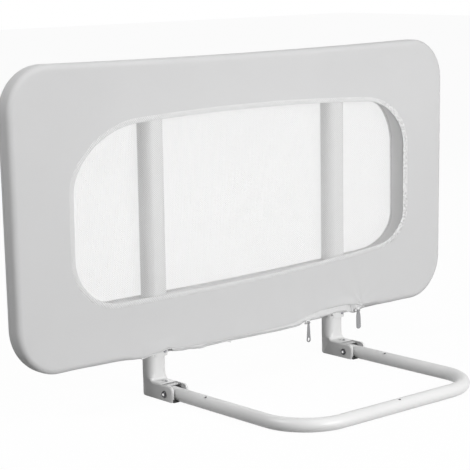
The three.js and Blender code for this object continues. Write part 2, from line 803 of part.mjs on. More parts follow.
// Slider: a blade over the chain with a flange down each side, and a bridge for the pull
function makeSlider() {
  const halfWidth = sliderWidth / 2;
  const halfLength = sliderLength / 2;
  const outline = new THREE.Shape();
  outline.moveTo(-halfLength, -halfWidth);
  outline.lineTo(halfLength - halfWidth, -halfWidth);
  outline.quadraticCurveTo(halfLength, -halfWidth, halfLength, 0);
  outline.quadraticCurveTo(halfLength, halfWidth, halfLength - halfWidth, halfWidth);
  outline.lineTo(-halfLength, halfWidth);
  outline.lineTo(sliderBlade - halfLength, 0);
  const blade = new THREE.ExtrudeGeometry(outline, {
    depth: sliderBlade,
    bevelEnabled: false,
    curveSegments: roundSteps,
  }).translate(0, 0, -(sliderFace + sliderBlade));
  const flangeLow = -(zipBase + zipTapeThickness + seatGap);
  const flanges = [-1, 1].map((side) => {
    const near = side * (halfWidth - sliderFlange);
    const far = side * halfWidth;
    return boxBetween([-halfLength, Math.min(near, far), -(sliderFace + sliderBlade / 2)],
      [halfLength - halfWidth, Math.max(near, far), flangeLow]);
  });
  const bar = bridgeBar / 2;
  const legs = [-1, 1].map((side) => boxBetween(
    [side * bridgeSpan / 2 - bar, -bar, -(bridgeHeight + bar)],
    [side * bridgeSpan / 2 + bar, bar, -(sliderFace + sliderBlade / 2)]));
  const rod = rodAlong("x", bar, -bridgeSpan / 2, bridgeSpan / 2, tubeSides / 2)
    .translate(0, 0, -bridgeHeight);
  return join(blade, ...flanges, ...legs, rod);
}

// Pulls hang from the bridge: their eye lies round the origin, their blade below it
function pullShape(length, width, neck, addBlade) {
  const eyeOuter = pullEye / 2 + pullEyeWall;
  const shape = new THREE.Shape();
  shape.moveTo(-neck, -eyeOuter);
  shape.lineTo(-eyeOuter, 0);
  shape.absarc(0, 0, eyeOuter, Math.PI, 0, true);
  shape.lineTo(neck, -eyeOuter);
  addBlade(shape, -length, width / 2, neck, -eyeOuter);
  return shape;
}

function taperBlade(shape, end, half, neck, top) {
  shape.lineTo(half, end + half);
  shape.absarc(0, end + half, half, 0, -Math.PI, true);
  shape.lineTo(-neck, top);
}

function leafBlade(shape, end, half, neck, top) {
  shape.bezierCurveTo(half, 2 * top, half, end / 2, half, end - top);
  shape.absarc(0, end - top, half, 0, -Math.PI, true);
  shape.bezierCurveTo(-half, end / 2, -half, 2 * top, -neck, top);
}

function makePull(shape, hole) {
  if (hole) shape.holes.push(hole);
  const blank = new THREE.ExtrudeGeometry(shape, {
    depth: pullThickness,
    bevelEnabled: false,
    curveSegments: roundSteps * 2,
  });
  blank.rotateX(Math.PI / 2).translate(0, pullThickness / 2, 0);
  const eye = rodAlong("x", pullEye / 2, -pullEye - pullEyeWall, pullEye + pullEyeWall);
  return { blank, eye };
}

// The eye of a pull is a ring across the bridge, so the blade starts below it
function makeHangingPull(length, width, addBlade, hole) {
  const eyeOuter = pullEye / 2 + pullEyeWall;
  const neck = bridgeSpan / 2 - bridgeBar;
  const { blank, eye } = makePull(pullShape(length, width, neck, addBlade), hole);
  const ring = rodAlong("x", eyeOuter, -neck, neck);
  const clear = boxBetween([-width, -pullThickness, 0], [width, pullThickness, eyeOuter + cutOverrun]);
  return cut(join(cut(blank, clear), ring), eye);
}

// Assembly
const sides = [["left", -armPlace], ["right", armPlace]];
addPiece(model, "base_tube", makeBaseTube(), whiteCoat);

for (const [side, x] of sides) {
  const place = (mesh) => mesh.position.setX(x);
  const plug = addPiece(model, `base_end_plug_${side}`, makeEndPlug(), greyPlastic);
  plug.position.set(x, tailBehindPin - pinReach, baseAxisHeight);
  place(addPiece(panel, `hinge_bracket_${side}`, makeBracket(), whiteCoat));
  const pin = addPiece(panel, `hinge_pin_${side}`, makeHingePin(), steel);
  pin.position.set(x, -pinReach, baseAxisHeight);
  for (const [end, turn] of [["inner", side === "left"], ["outer", side !== "left"]]) {
    const spacer = addPiece(panel, `hinge_spacer_${side}_${end}`, makeSpacer(), greyPlastic);
    spacer.position.set(x, -pinReach, baseAxisHeight);
    spacer.rotation.z = turn ? 0 : Math.PI;
  }
  place(addPiece(panel, `lock_slide_${side}`, makeLockSlide(), steel));
  const knob = addPiece(panel, `lock_knob_${side}`, makeLockKnob(), greyPlastic);
  knob.position.set(x, -lockStudReach, 0);
  place(addPiece(panel, `upright_${side}`, makeUpright(), whiteCoat));
  screwPlaces().forEach((offset, i) => {
    const screw = addPiece(panel, `upright_screw_${side}_${i + 1}`, makeScrew(), steel);
    screw.position.set(x + offset, 0, screwHeight);
  });
}

addPiece(panel, "frame_hoop", makeFrameHoop(frameTube, frameWall), whiteCoat);
addPiece(panel, "frame_crossbar", makeCrossbar(frameTube, frameWall), whiteCoat);
addPiece(panel, "edge_padding", makePadding(), whiteFoam);
addPiece(panel, "cover_front", makeCoverHalf(-1), greyCloth);
addPiece(panel, "cover_back", makeCoverHalf(1), greyCloth);
addPiece(panel, "window_net_front", makeNet(-1), whiteNet);
addPiece(panel, "window_net_back", makeNet(1), whiteNet);
addPiece(panel, "window_binding_front", makeBinding(-1), paleCloth);
addPiece(panel, "window_binding_back", makeBinding(1), paleCloth);

const slitEdge = uprightWidth / 2 + slitMargin + zipEndGap;
const ovalHole = new THREE.Path();
ovalHole.absellipse(0, pullHoleRim + pullHoleLength / 2 - taperPullLength, pullHoleWidth / 2,
  pullHoleLength / 2, 0, 2 * Math.PI);
const zips = [
  ["inner", slitEdge - armPlace, armPlace - slitEdge, innerSliderPlace,
    makeHangingPull(taperPullLength, taperPullWidth, taperBlade, ovalHole)],
  ["outer", armPlace + slitEdge, zipOuterEnd, outerSliderPlace,
    makeHangingPull(leafPullLength, leafPullWidth, leafBlade, null)],
];
for (const [name, from, to, sliderPlace, pullGeometry] of zips) {
  const { line, tilted, middle, half } = zipFrame(from, to);
  addPiece(tilted, `zip_${name}`, makeZipTape(half), paleCloth);
  const along = (sliderPlace - middle) / Math.cos(line.rotation.y);
  const slider = addPiece(tilted, `zip_slider_${name}`, makeSlider(), zincCast);
  slider.position.x = along;
  if (name === "outer") slider.rotation.z = Math.PI;
  const pull = addPiece(line, `zip_pull_${name}`, pullGeometry, zincCast);
  pull.position.set(along, -bridgeHeight * Math.sin(zipTilt), -bridgeHeight * Math.cos(zipTilt));
}

export default model;
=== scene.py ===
"""Looks of the folding bed guard rail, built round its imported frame. Metres, +Z up, -Y over the bed."""

import math

import bmesh
import bpy
from mathutils import Matrix, Vector, noise


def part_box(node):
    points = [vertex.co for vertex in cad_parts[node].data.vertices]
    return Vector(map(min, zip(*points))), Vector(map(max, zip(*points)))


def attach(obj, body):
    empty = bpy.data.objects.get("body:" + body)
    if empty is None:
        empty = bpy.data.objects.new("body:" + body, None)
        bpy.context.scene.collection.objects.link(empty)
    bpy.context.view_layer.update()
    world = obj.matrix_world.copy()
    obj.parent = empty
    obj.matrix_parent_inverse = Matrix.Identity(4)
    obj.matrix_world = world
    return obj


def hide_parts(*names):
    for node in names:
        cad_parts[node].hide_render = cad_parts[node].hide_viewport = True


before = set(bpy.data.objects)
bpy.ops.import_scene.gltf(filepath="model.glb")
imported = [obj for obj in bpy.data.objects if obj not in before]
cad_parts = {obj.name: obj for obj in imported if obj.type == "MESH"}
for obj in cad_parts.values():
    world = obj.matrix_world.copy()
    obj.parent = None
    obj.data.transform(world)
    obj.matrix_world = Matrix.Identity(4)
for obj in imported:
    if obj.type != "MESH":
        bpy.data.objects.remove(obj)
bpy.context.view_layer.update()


# Camera: a long lens off the panel's left front, a little above it.
# It looks slightly down, and leans a little to one side.
PANEL_MIDDLE = (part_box("cover_front")[0].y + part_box("cover_back")[1].y) / 2
camera = bpy.data.objects.new("camera", bpy.data.cameras.new("camera"))
bpy.context.scene.collection.objects.link(camera)
bpy.context.scene.camera = camera
camera.data.sensor_width = 36
camera.data.lens = 125.24
CAMERA_DISTANCE = 2.7464
turn, rise, lean = math.radians(-40.9), math.radians(9.75), math.radians(-0.94)
back = Vector((math.sin(turn) * math.cos(rise), -math.cos(turn) * math.cos(rise), math.sin(rise)))
right = Vector((math.cos(turn), math.sin(turn), 0))
up = back.cross(right)
leant_right = math.cos(lean) * right + math.sin(lean) * up
leant_up = math.cos(lean) * up - math.sin(lean) * right
aim = Vector((-0.02198, PANEL_MIDDLE, 0.23988))
view_turn = Matrix((leant_right, leant_up, back)).transposed().to_4x4()
camera.matrix_world = Matrix.Translation(aim + back * CAMERA_DISTANCE) @ view_turn


# Studio: a pale floor and a surround that look white behind the rail. A wide lamp stands low before it
# and one high above it, with one behind, and a smaller one high on the left, which the panel keeps off
# the bracket cheeks.
class Value:
    """A shader socket, on which arithmetic adds Math nodes."""

    def __init__(self, finish, socket):
        self.finish = finish
        self.socket = socket

    def maths(self, operation, *terms, clamp=False):
        return self.finish.node("ShaderNodeMath", {"operation": operation, "use_clamp": clamp}, *terms)

    def __add__(self, other):
        return self.maths("ADD", self, other)

    __radd__ = __add__

    def __sub__(self, other):
        return self.maths("SUBTRACT", self, other)

    def __rsub__(self, other):
        return self.maths("SUBTRACT", other, self)

    def __mul__(self, other):
        return self.maths("MULTIPLY", self, other)

    __rmul__ = __mul__

    def __abs__(self):
        return self.maths("ABSOLUTE", self)

    def wave(self):
        return self.maths("SINE", self)

    def larger(self, other):
        return self.maths("MAXIMUM", self, other)

    def below(self, limit):
        return self.maths("LESS_THAN", self, limit)

    def within(self):
        """The value cut to 0 and 1."""
        return self.maths("ADD", self, 0.0, clamp=True)


class Finish:
    """The node tree of a material or of the world."""

    def __init__(self, owner):
        owner.use_nodes = True
        self.owner = owner
        self.tree = owner.node_tree

    def set_sockets(self, node, values):
        for socket, value in values:
            if isinstance(value, Value):
                self.tree.links.new(value.socket, node.inputs[socket])
            else:
                node.inputs[socket].default_value = value

    def node(self, kind, settings=None, *values, output=0, **named):
        """Adds a node: its settings first, then its sockets by place or by name."""
        made = self.tree.nodes.new(kind)
        for setting, value in (settings or {}).items():
            setattr(made, setting, value)
        self.set_sockets(made, enumerate(values))
        self.set_sockets(made, named.items())
        return Value(self, made.outputs[output])

    def surface(self, **named):
        """Sets or feeds the sockets of the material's own shader."""
        values = ((name.replace("_", " "), value) for name, value in named.items())
        self.set_sockets(self.tree.nodes["Principled BSDF"], values)
        return self

    def show(self, shader):
        """Sends a shader to the tree's output."""
        for end in self.tree.nodes:
            if end.type.startswith("OUTPUT"):
                self.tree.links.new(shader.socket, end.inputs["Surface"])

    def parts(self, vector):
        split = self.node("ShaderNodeSeparateXYZ", {}, vector)
        return [Value(self, socket) for socket in split.socket.node.outputs]

    def place(self):
        """The piece's own X, Y and Z."""
        return self.parts(self.node("ShaderNodeTexCoord", output="Object"))

    def noise(self, scale, detail=3.0):
        """Soft grain from 0 to 1, with scale humps to the metre."""
        place = self.node("ShaderNodeTexCoord", output="Object")
        return self.node("ShaderNodeTexNoise", {}, place, Scale=scale, Detail=detail, output="Fac")

    def blend(self, share, low, high):
        """A colour between two."""
        colours = {"Factor": share, "A": (*low, 1), "B": (*high, 1)}
        return self.node("ShaderNodeMix", {"data_type": "RGBA"}, **colours, output="Result")

    def bump(self, height, distance, strength):
        bumps = self.node("ShaderNodeBump", {}, Height=height, Distance=distance, Strength=strength)
        self.surface(Normal=bumps)

    def seen(self):
        """1 for a ray of the camera, or one that gloss or glass sends on."""
        path = self.node("ShaderNodeLightPath").socket.node
        rays = ("Is Camera Ray", "Is Glossy Ray", "Is Transmission Ray")
        camera_ray, glossy, through = (Value(self, path.outputs[ray]) for ray in rays)
        return camera_ray.larger(glossy).larger(through)


bpy.context.scene.view_settings.view_transform = "Standard"
WHITE = (1, 1, 1, 1)
studio = Finish(bpy.data.worlds.new("studio"))
bpy.context.scene.world = studio.owner
AIR_LIGHT = 0.085
lighting = studio.node("ShaderNodeBackground", {}, WHITE, AIR_LIGHT)
backdrop = studio.node("ShaderNodeBackground", {}, WHITE, 1.0)
studio.show(studio.node("ShaderNodeMixShader", {}, studio.seen(), lighting, backdrop))

MM = 0.001
FLOOR_REACH = 12
FLOOR_DROP = 0.4 * MM
FLOOR_GREY = (0.3, 0.3, 0.3, 1)
SHADOW_SHARE = 0.04
floor_finish = Finish(bpy.data.materials.new("floor_pale")).surface(Base_Color=FLOOR_GREY, Roughness=1.0)
matt_floor = Value(floor_finish, floor_finish.tree.nodes["Principled BSDF"].outputs[0])
white_floor = floor_finish.node("ShaderNodeEmission", {}, WHITE, 1.0)
shadow_floor = floor_finish.node("ShaderNodeBsdfDiffuse", {}, WHITE)
shaded_floor = floor_finish.node("ShaderNodeMixShader", {}, SHADOW_SHARE, white_floor, shadow_floor)
seen_floor = floor_finish.node("ShaderNodeMixShader", {}, floor_finish.seen(), matt_floor, shaded_floor)
floor_finish.show(seen_floor)
work = bmesh.new()
bmesh.ops.create_grid(work, x_segments=1, y_segments=1, size=FLOOR_REACH)
bmesh.ops.translate(work, verts=work.verts, vec=(0, 0, -FLOOR_DROP))
floor_mesh = bpy.data.meshes.new("floor")
work.to_mesh(floor_mesh)
work.free()
floor_mesh.materials.append(floor_finish.owner)
floor = bpy.data.objects.new("floor", floor_mesh)
bpy.context.scene.collection.objects.link(floor)

LAMP_DISTANCE = 2.6
LAMP_AIM = Vector((0, 0, 0.3))
for name, toward, size, power in (
    ("low front", Vector((0.12, -1.0, 0.12)), 1.8, 71),
    ("high front", Vector((0.0, -0.5, 1.0)), 1.8, 19),
    ("high left", Vector((-1.0, 0.2, 0.9)), 0.8, 23.5),
    ("rear", Vector((0.5, 1.0, 0.7)), 1.8, 17),
):
    lamp = bpy.data.objects.new(name, bpy.data.lights.new(name, "AREA"))
    lamp.data.size = size
    lamp.data.energy = power
    lamp.location = LAMP_AIM + toward.normalized() * LAMP_DISTANCE
    lamp.rotation_euler = toward.to_track_quat("Z", "Y").to_euler()
    bpy.context.scene.collection.objects.link(lamp)


# Base tube: one steel tube bent to a U, powder-coated white, open at its rear ends.
# It is drilled through for the two hinge pins, and from above for three fixing screws.
COAT_DULL, COAT_BRIGHT = (0.72, 0.72, 0.718), (0.76, 0.76, 0.757)
white_coat = Finish(bpy.data.materials.new("white_coat"))
white_coat.surface(Roughness=0.4, Coat_Weight=0.2, Coat_Roughness=0.25)
white_coat.surface(Base_Color=white_coat.blend(white_coat.noise(14), COAT_DULL, COAT_BRIGHT))
white_coat.bump(white_coat.noise(650), 0.05 * MM, 0.3)

base_low, base_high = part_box("base_tube")
TUBE_RADIUS = (base_high.z - base_low.z) / 2
TUBE_WALL = 1.4 * MM
TUBE_SIDES = 40
BEND = 80 * MM
BEND_STEPS = 20
SMOOTH_BELOW = math.radians(32)
MERGE = 0.01 * MM
arm = base_high.x - TUBE_RADIUS
front_bar = base_low.y + TUBE_RADIUS


def of_kind(parts, kind):
    """The corners, edges or faces among the parts that an operator gives back."""
    return [part for part in parts if isinstance(part, kind)]


def drawn_on(work, rim, along):
    """Draws a rim of edges straight on, and gives its new end."""
    drawn = bmesh.ops.extrude_edge_only(work, edges=rim)["geom"]
    ends = of_kind(drawn, bmesh.types.BMVert)
    bmesh.ops.translate(work, verts=ends, vec=along)
    edges = of_kind(drawn, bmesh.types.BMEdge)
    return [edge for edge in edges if all(corner in ends for corner in edge.verts)]


def bent_on(work, rim, centre):
    """Bends a rim of edges on by a quarter turn about the upright line through centre."""
    corners = list({corner for edge in rim for corner in edge.verts})
    turned = bmesh.ops.spin(
        work, geom=corners + rim, cent=centre, axis=(0, 0, 1), angle=math.pi / 2, steps=BEND_STEPS
    )["geom_last"]
    return of_kind(turned, bmesh.types.BMEdge)


def walled(work, thickness):
    """Gives a sheet its thickness, inwards, and closes it."""
    bmesh.ops.remove_doubles(work, verts=work.verts, dist=MERGE)
    bmesh.ops.recalc_face_normals(work, faces=work.faces)
    bmesh.ops.solidify(work, geom=work.faces[:], thickness=thickness)
    if work.calc_volume(signed=True) < 0:
        bmesh.ops.reverse_faces(work, faces=work.faces)
    return work


def add_piece(work, name, finish, body, slot, *nodes):
    """Makes a piece of a worked mesh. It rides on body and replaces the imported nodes."""
    mesh = bpy.data.meshes.new(name)
    work.to_mesh(mesh)
    work.free()
    mesh.shade_smooth()
    mesh.set_sharp_from_angle(angle=SMOOTH_BELOW)
    mesh.materials.append(finish.owner)
    piece = bpy.data.objects.new(name, mesh)
    bpy.context.scene.collection.objects.link(piece)
    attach(piece, body)
    if nodes:
        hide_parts(*nodes)
    return piece


work = bmesh.new()
bmesh.ops.create_circle(work, segments=TUBE_SIDES, radius=TUBE_RADIUS)
rim = work.edges[:]
bmesh.ops.rotate(work, verts=work.verts, matrix=Matrix.Rotation(math.pi / 2, 3, "X"))
bmesh.ops.translate(work, verts=work.verts, vec=(-arm, base_high.y, base_low.z + TUBE_RADIUS))
arm_run = base_high.y - front_bar - BEND
rim = drawn_on(work, rim, (0, -arm_run, 0))
rim = bent_on(work, rim, (BEND - arm, front_bar + BEND, 0))
rim = drawn_on(work, rim, (2 * (arm - BEND), 0, 0))
rim = bent_on(work, rim, (arm - BEND, front_bar + BEND, 0))
drawn_on(work, rim, (0, arm_run, 0))
base_tube = add_piece(
    walled(work, TUBE_WALL), "base_tube_coated", white_coat, "base", "white_coat", "base_tube",
)


HOLE_SIDES = 32


def drill(piece, radius, length, place, along):
    """Cuts a round hole through a piece."""
    work = bmesh.new()
    bmesh.ops.create_cone(
        work, cap_ends=True, segments=HOLE_SIDES, radius1=radius, radius2=radius, depth=length
    )
    bmesh.ops.rotate(work, verts=work.verts, matrix=along.to_track_quat("Z", "Y").to_matrix())
    bmesh.ops.translate(work, verts=work.verts, vec=place)
    mesh = bpy.data.meshes.new("drill")
    work.to_mesh(mesh)
    work.free()
    tool = bpy.data.objects.new("drill", mesh)
    bpy.context.scene.collection.objects.link(tool)
    cut = piece.modifiers.new("cut", "BOOLEAN")
    cut.operation = "DIFFERENCE"
    cut.object = tool
    with bpy.context.temp_override(object=piece, active_object=piece):
        bpy.ops.object.modifier_apply(modifier=cut.name)
    bpy.data.objects.remove(tool)
    bpy.data.meshes.remove(mesh)


SIDES = ("left", "right")
SCREW_HOLE = 2.4 * MM
SCREW_REACH = 136 * MM
PIN_HOLE = 4.1 * MM
ARM_SCREW_LEAN, FRONT_SCREW_LEAN = Vector((-0.45, 0, 1)), Vector((0, -0.3, 1))
for place, along in (
    ((-arm, PANEL_MIDDLE - SCREW_REACH), ARM_SCREW_LEAN),
    ((arm, PANEL_MIDDLE - SCREW_REACH), ARM_SCREW_LEAN),
    ((0, front_bar), FRONT_SCREW_LEAN),
):
    along = along.normalized() * TUBE_RADIUS
    drill(base_tube, SCREW_HOLE, TUBE_RADIUS, Vector((*place, base_low.z + TUBE_RADIUS)) + along, along)
for side in SIDES:
    low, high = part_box(f"hinge_pin_{side}")
    drill(base_tube, PIN_HOLE, TUBE_RADIUS * 3, (low + high) / 2, Vector((1, 0, 0)))


# Base end plugs: ribbed plastic stoppers pressed into the rear ends of the tube.
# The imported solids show, in a grey moulded finish.
def plastic(name, colour):
    """Moulded plastic, in places a tenth paler, with a fine grain."""
    moulded = Finish(bpy.data.materials.new(name)).surface(Roughness=0.5)
    paler = tuple(share * 1.1 for share in colour)
    moulded.surface(Base_Color=moulded.blend(moulded.noise(40), colour, paler))
    moulded.bump(moulded.noise(800), 0.03 * MM, 0.4)
    return moulded


def dress(finish, *names):
    """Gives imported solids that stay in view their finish."""
    for name in names:
        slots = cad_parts[name].data.materials
        slots.clear()
        slots.append(finish.owner)


dress(plastic("plug_plastic", (0.3, 0.3, 0.3)), *(f"base_end_plug_{side}" for side in SIDES))


# Hinge brackets: folded sheet steel, coated white, a foot over the tube and a column up into the post.
# The cut edges are broken by a fine round, the column's front corners open to a long round below the
# post, and the cheeks' front edges are folded in to a narrow flange.
EDGE_ABOVE, FLAT_BELOW = math.radians(38), math.radians(1)
EDGE_ROUND_STEPS = 2
BRACKET_EDGE, FLANGE_EDGE = 0.35 * MM, 0.5 * MM
COLUMN_DEPTH = 19.9 * MM
COLUMN_ACROSS, COLUMN_ALONG = 6.5 * MM, 9 * MM
COLUMN_ROUND, COLUMN_ROUND_DEPTH = 12 * MM, 15 * MM
COLUMN_WIDENED, WIDENED_FROM = 0.075, 0.7
COLUMN_SHEET = 7.7 * MM
COLUMN_LEVELS = (26.5, 28, 30, 32, 35, 39, 63, 66)
COLUMN_OPENS, COLUMN_CLOSES = (26 * MM, 38 * MM), (66 * MM, 63 * MM)
CORNER_SLACK = 0.01
CHEEK_SHEET = 1.6 * MM
FLANGE_WIDTH, FLANGE_THICKNESS = 3.2 * MM, 1.8 * MM
FLANGE_LOW = 3 * MM
FLANGE_TOP_RUN = 6 * MM
NOSE_ROUND, NOSE_STEPS = 8 * MM, 8
FOOT_TOP = 26 * MM


def ease(value, start, end):
    """0 at start, 1 at end, and a soft turn between."""
    share = min(max((value - start) / (end - start), 0), 1)
    return share * share * (3 - 2 * share)


def open_column(work, low, high):
    """Opens the column's front corners from the fold's tight round to a wide one."""
    middle, half = (low.x + high.x) / 2, (high.x - low.x) / 2
    front = high.y - COLUMN_DEPTH
    for level in COLUMN_LEVELS:
        everything = work.verts[:] + work.edges[:] + work.faces[:]
        bmesh.ops.bisect_plane(work, geom=everything, plane_co=(0, 0, level * MM), plane_no=(0, 0, 1))
    for corner in work.verts:
        x, y, z = corner.co
        aside, behind = half - abs(x - middle), y - front
        amount = ease(z, *COLUMN_OPENS) * ease(z, *COLUMN_CLOSES)
        across = (COLUMN_ACROSS - aside) / COLUMN_ACROSS
        along = (COLUMN_ALONG - behind) / COLUMN_ALONG
        if amount and across > -CORNER_SLACK and -CORNER_SLACK < along < 1 + CORNER_SLACK:
            turn = math.atan2(max(along, 0), max(across, 0))
            sheet = max(1 - math.hypot(across, along), 0) * COLUMN_SHEET
            opened = half - COLUMN_ROUND + (COLUMN_ROUND - sheet) * math.cos(turn)
            depth = COLUMN_ROUND_DEPTH - (COLUMN_ROUND_DEPTH - sheet) * math.sin(turn)
            goal = Vector((middle + math.copysign(opened, x - middle), front + depth, z))
            corner.co = corner.co.lerp(goal, amount)
        corner.co.x += (corner.co.x - middle + half * WIDENED_FROM) * COLUMN_WIDENED * amount


def pushed_out(work, faces, along):
    """Draws faces out to a solid, and gives the faces at its new end."""
    end = bmesh.ops.extrude_face_region(work, geom=faces)["geom"]
    bmesh.ops.translate(work, verts=of_kind(end, bmesh.types.BMVert), vec=along)
    return of_kind(end, bmesh.types.BMFace)


def add_flange(work, side, low, high):
    """A cheek's front edge folded in: up the nose, round it, and a little way along the top."""
    middle, half = (low.x + high.x) / 2, (high.x - low.x) / 2
    inner = middle + side * (half - CHEEK_SHEET - FLANGE_WIDTH / 2)
    edge = bmesh.ops.create_grid(work, x_segments=1, y_segments=1, size=0.5)["verts"]
    bmesh.ops.scale(work, verts=edge, vec=(FLANGE_WIDTH, FLANGE_THICKNESS, 1))
    bmesh.ops.translate(work, verts=edge, vec=(inner, low.y + FLANGE_THICKNESS / 2, FLANGE_LOW))
    nose = pushed_out(work, [edge[0].link_faces[0]], (0, 0, FOOT_TOP - NOSE_ROUND - FLANGE_LOW))
    turned = bmesh.ops.spin(
        work, geom=nose + list(nose[0].edges) + list(nose[0].verts), axis=(1, 0, 0), angle=-math.pi / 2,
        steps=NOSE_STEPS, cent=(inner, low.y + NOSE_ROUND, FOOT_TOP - NOSE_ROUND),
    )["geom_last"]
    pushed_out(work, of_kind(turned, bmesh.types.BMFace), (0, FLANGE_TOP_RUN, 0))


def break_edges(work, rounding):
    """Rounds the sharp edges finely over."""
    sharp = [edge for edge in work.edges if edge.calc_face_angle(0) > EDGE_ABOVE]
    bmesh.ops.bevel(
        work, geom=sharp, offset=rounding, offset_type="OFFSET", segments=EDGE_ROUND_STEPS,
        profile=0.5, affect="EDGES", material=-1, clamp_overlap=True,
    )


def rounded_copy(node, finish, body, slot, rounding, reshape=None):
    """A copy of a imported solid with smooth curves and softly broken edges, which it replaces."""
    work = bmesh.new()
    work.from_mesh(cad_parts[node].data)
    bmesh.ops.remove_doubles(work, verts=work.verts, dist=MERGE)
    bmesh.ops.dissolve_limit(work, angle_limit=FLAT_BELOW, verts=work.verts, edges=work.edges)
    if reshape:
        reshape(work, *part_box(node))
    break_edges(work, rounding)
    piece = add_piece(work, f"{node}_finished", finish, body, slot, node)
    piece.modifiers.new("flats", "WEIGHTED_NORMAL").keep_sharp = True


for side in SIDES:
    rounded_copy(f"hinge_bracket_{side}", white_coat, "guard", "white_coat", BRACKET_EDGE, open_column)
    work = bmesh.new()
    for cheek in (-1, 1):
        add_flange(work, cheek, *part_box(f"hinge_bracket_{side}"))
    bmesh.ops.recalc_face_normals(work, faces=work.faces)
    break_edges(work, FLANGE_EDGE)
    add_piece(work, f"cheek_flanges_{side}", white_coat, "guard", "white_coat")


# Foot liners: black corners in the foot, under the tube, that stand as painted shade for the dark gap
# there.
# Only a dark bit at the nose of each foot shows in the photo, so their shape is guessed.
LINER_OUTLINE = ((15.2, 0.3), (2, 0.3), (5, 1), (8, 2.6), (10.2, 4.6), (15.2, 4.8))
LINER_START, LINER_LENGTH = 2.5 * MM, 9.5 * MM
LINER_SHADE_DARK, LINER_SHADE_MOTTLE = (0.015, 0.015, 0.015), (0.03, 0.03, 0.03)
# Near black and a little mottled: painted shade of the gap under the tube, not a part's own colour.
shade_liner_black = Finish(bpy.data.materials.new("shade_liner_black")).surface(Roughness=0.6)
shade_liner_black.surface(Base_Color=shade_liner_black.blend(shade_liner_black.noise(60), LINER_SHADE_DARK, LINER_SHADE_MOTTLE))
shade_liner_black.bump(shade_liner_black.noise(700), 0.05 * MM, 0.4)
for side in SIDES:
    low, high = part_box(f"hinge_bracket_{side}")
    middle = (low.x + high.x) / 2
    work = bmesh.new()
    for cheek in (-1, 1):
        outline = [
            work.verts.new((middle + cheek * x * MM, low.y - LINER_START, z * MM)) for x, z in LINER_OUTLINE
        ]
        pushed_out(work, [work.faces.new(outline)], (0, LINER_LENGTH, 0))
    bmesh.ops.recalc_face_normals(work, faces=work.faces)
    add_piece(work, f"foot_shade_liner_{side}", shade_liner_black, "guard", "grey_plastic")


# Hinge pins: headed steel rivets with a dished head, one through each foot and the tube.
# Black plastic spacer rings beside the tube keep it in the middle of the foot.
def plated(name, roughness):
    """Plated metal, in places a little duller."""
    plating = Finish(bpy.data.materials.new(name)).surface(Metallic=0.9)
    return plating.surface(Roughness=plating.noise(200) * 0.15 + roughness)


pin_steel = plated("pin_steel", 0.22)
DISH = 2.1 * MM
PIN_EDGE = 0.25 * MM
# The pin outside its dish is near black: painted shade of the gap round the head. The dish is pale plated
# steel.
RIM_PAINTED_SHADE, DISH_PALE = (0.07, 0.07, 0.075), (0.95, 0.95, 0.95)
low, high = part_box("hinge_pin_left")
_, y, z = pin_steel.place()
behind, above = y - (low.y + high.y) / 2, z - (low.z + high.z) / 2
in_dish = (behind * behind + above * above).below(DISH * DISH)
pin_steel.surface(Base_Color=pin_steel.blend(in_dish, RIM_PAINTED_SHADE, DISH_PALE))
spacer_plastic = plastic("spacer_plastic", (0.06, 0.06, 0.065))
for side in SIDES:
    rounded_copy(f"hinge_pin_{side}", pin_steel, "guard", "steel", PIN_EDGE)
    dress(spacer_plastic, f"hinge_spacer_{side}_inner", f"hinge_spacer_{side}_outer")


# Locks: a zinc-plated steel plate that slides under each foot's web.
# A small grey plastic knob, fixed to it through the web's slot, draws it back.
def metal(name, colour, roughness):
    """Plated metal of one colour, in places a tenth darker."""
    plating = plated(name, roughness)
    darker = tuple(share * 0.9 for share in colour)
    return plating.surface(Base_Color=plating.blend(plating.noise(30), colour, darker))


SLIDE_EDGE, KNOB_EDGE = 0.15 * MM, 0.3 * MM
slide_steel = metal("slide_steel", (0.5, 0.5, 0.5), 0.35)
knob_plastic = plastic("knob_plastic", (0.32, 0.32, 0.33))
for side in SIDES:
    rounded_copy(f"lock_slide_{side}", slide_steel, f"lock_{side}", "steel", SLIDE_EDGE)
    rounded_copy(f"lock_knob_{side}", knob_plastic, f"lock_{side}", "grey_plastic", KNOB_EDGE)


# Uprights: rectangular steel tubes with wide soft front corners, coated white, each held by two screws.
# The outer screw of a pair is plated, and the inner one is coated over with the post.
screw_steel = metal("screw_steel", (0.3, 0.3, 0.32), 0.3)
POST_ROUND, POST_ROUND_STEPS = 15 * MM, 12
POST_REAR_ROUND, POST_REAR_STEPS = 3 * MM, 4
POST_ROUND_DEPTH = 18 * MM
POST_WALL = 1.2 * MM
POST_LEFT_IN, POST_RIGHT_OUT = 2 * MM, 6 * MM
for side in SIDES:
    low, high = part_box(f"upright_{side}")
    low.x += POST_LEFT_IN
    high.x += POST_RIGHT_OUT
    work = bmesh.new()
    corners = bmesh.ops.create_grid(work, x_segments=1, y_segments=1, size=0.5)["verts"]
    bmesh.ops.scale(work, verts=corners, vec=(high.x - low.x, high.y - low.y, 1))
    bmesh.ops.translate(work, verts=corners, vec=((low.x + high.x) / 2, (low.y + high.y) / 2, low.z))
    front_to_back = sorted(corners, key=lambda corner: corner.co.y)
    for pair, rounding, steps in (
        (front_to_back[:2], POST_ROUND, POST_ROUND_STEPS),
        (front_to_back[2:], POST_REAR_ROUND, POST_REAR_STEPS),
    ):
        bmesh.ops.bevel(
            work, geom=pair, offset=rounding, offset_type="OFFSET", segments=steps, profile=0.5,
            affect="VERTICES", material=-1, clamp_overlap=False,
        )
    for corner in work.verts:
        if corner.co.y < low.y + POST_ROUND + MERGE:
            corner.co.y = low.y + (corner.co.y - low.y) * POST_ROUND_DEPTH / POST_ROUND
    bmesh.ops.delete(work, geom=work.faces[:], context="FACES_ONLY")
    drawn_on(work, work.edges[:], (0, 0, high.z - low.z))
    walled(work, POST_WALL)
    add_piece(work, f"upright_{side}_tube", white_coat, "guard", "white_coat", f"upright_{side}")
    dress(white_coat, f"upright_screw_{side}_1")
    dress(screw_steel, f"upright_screw_{side}_2")


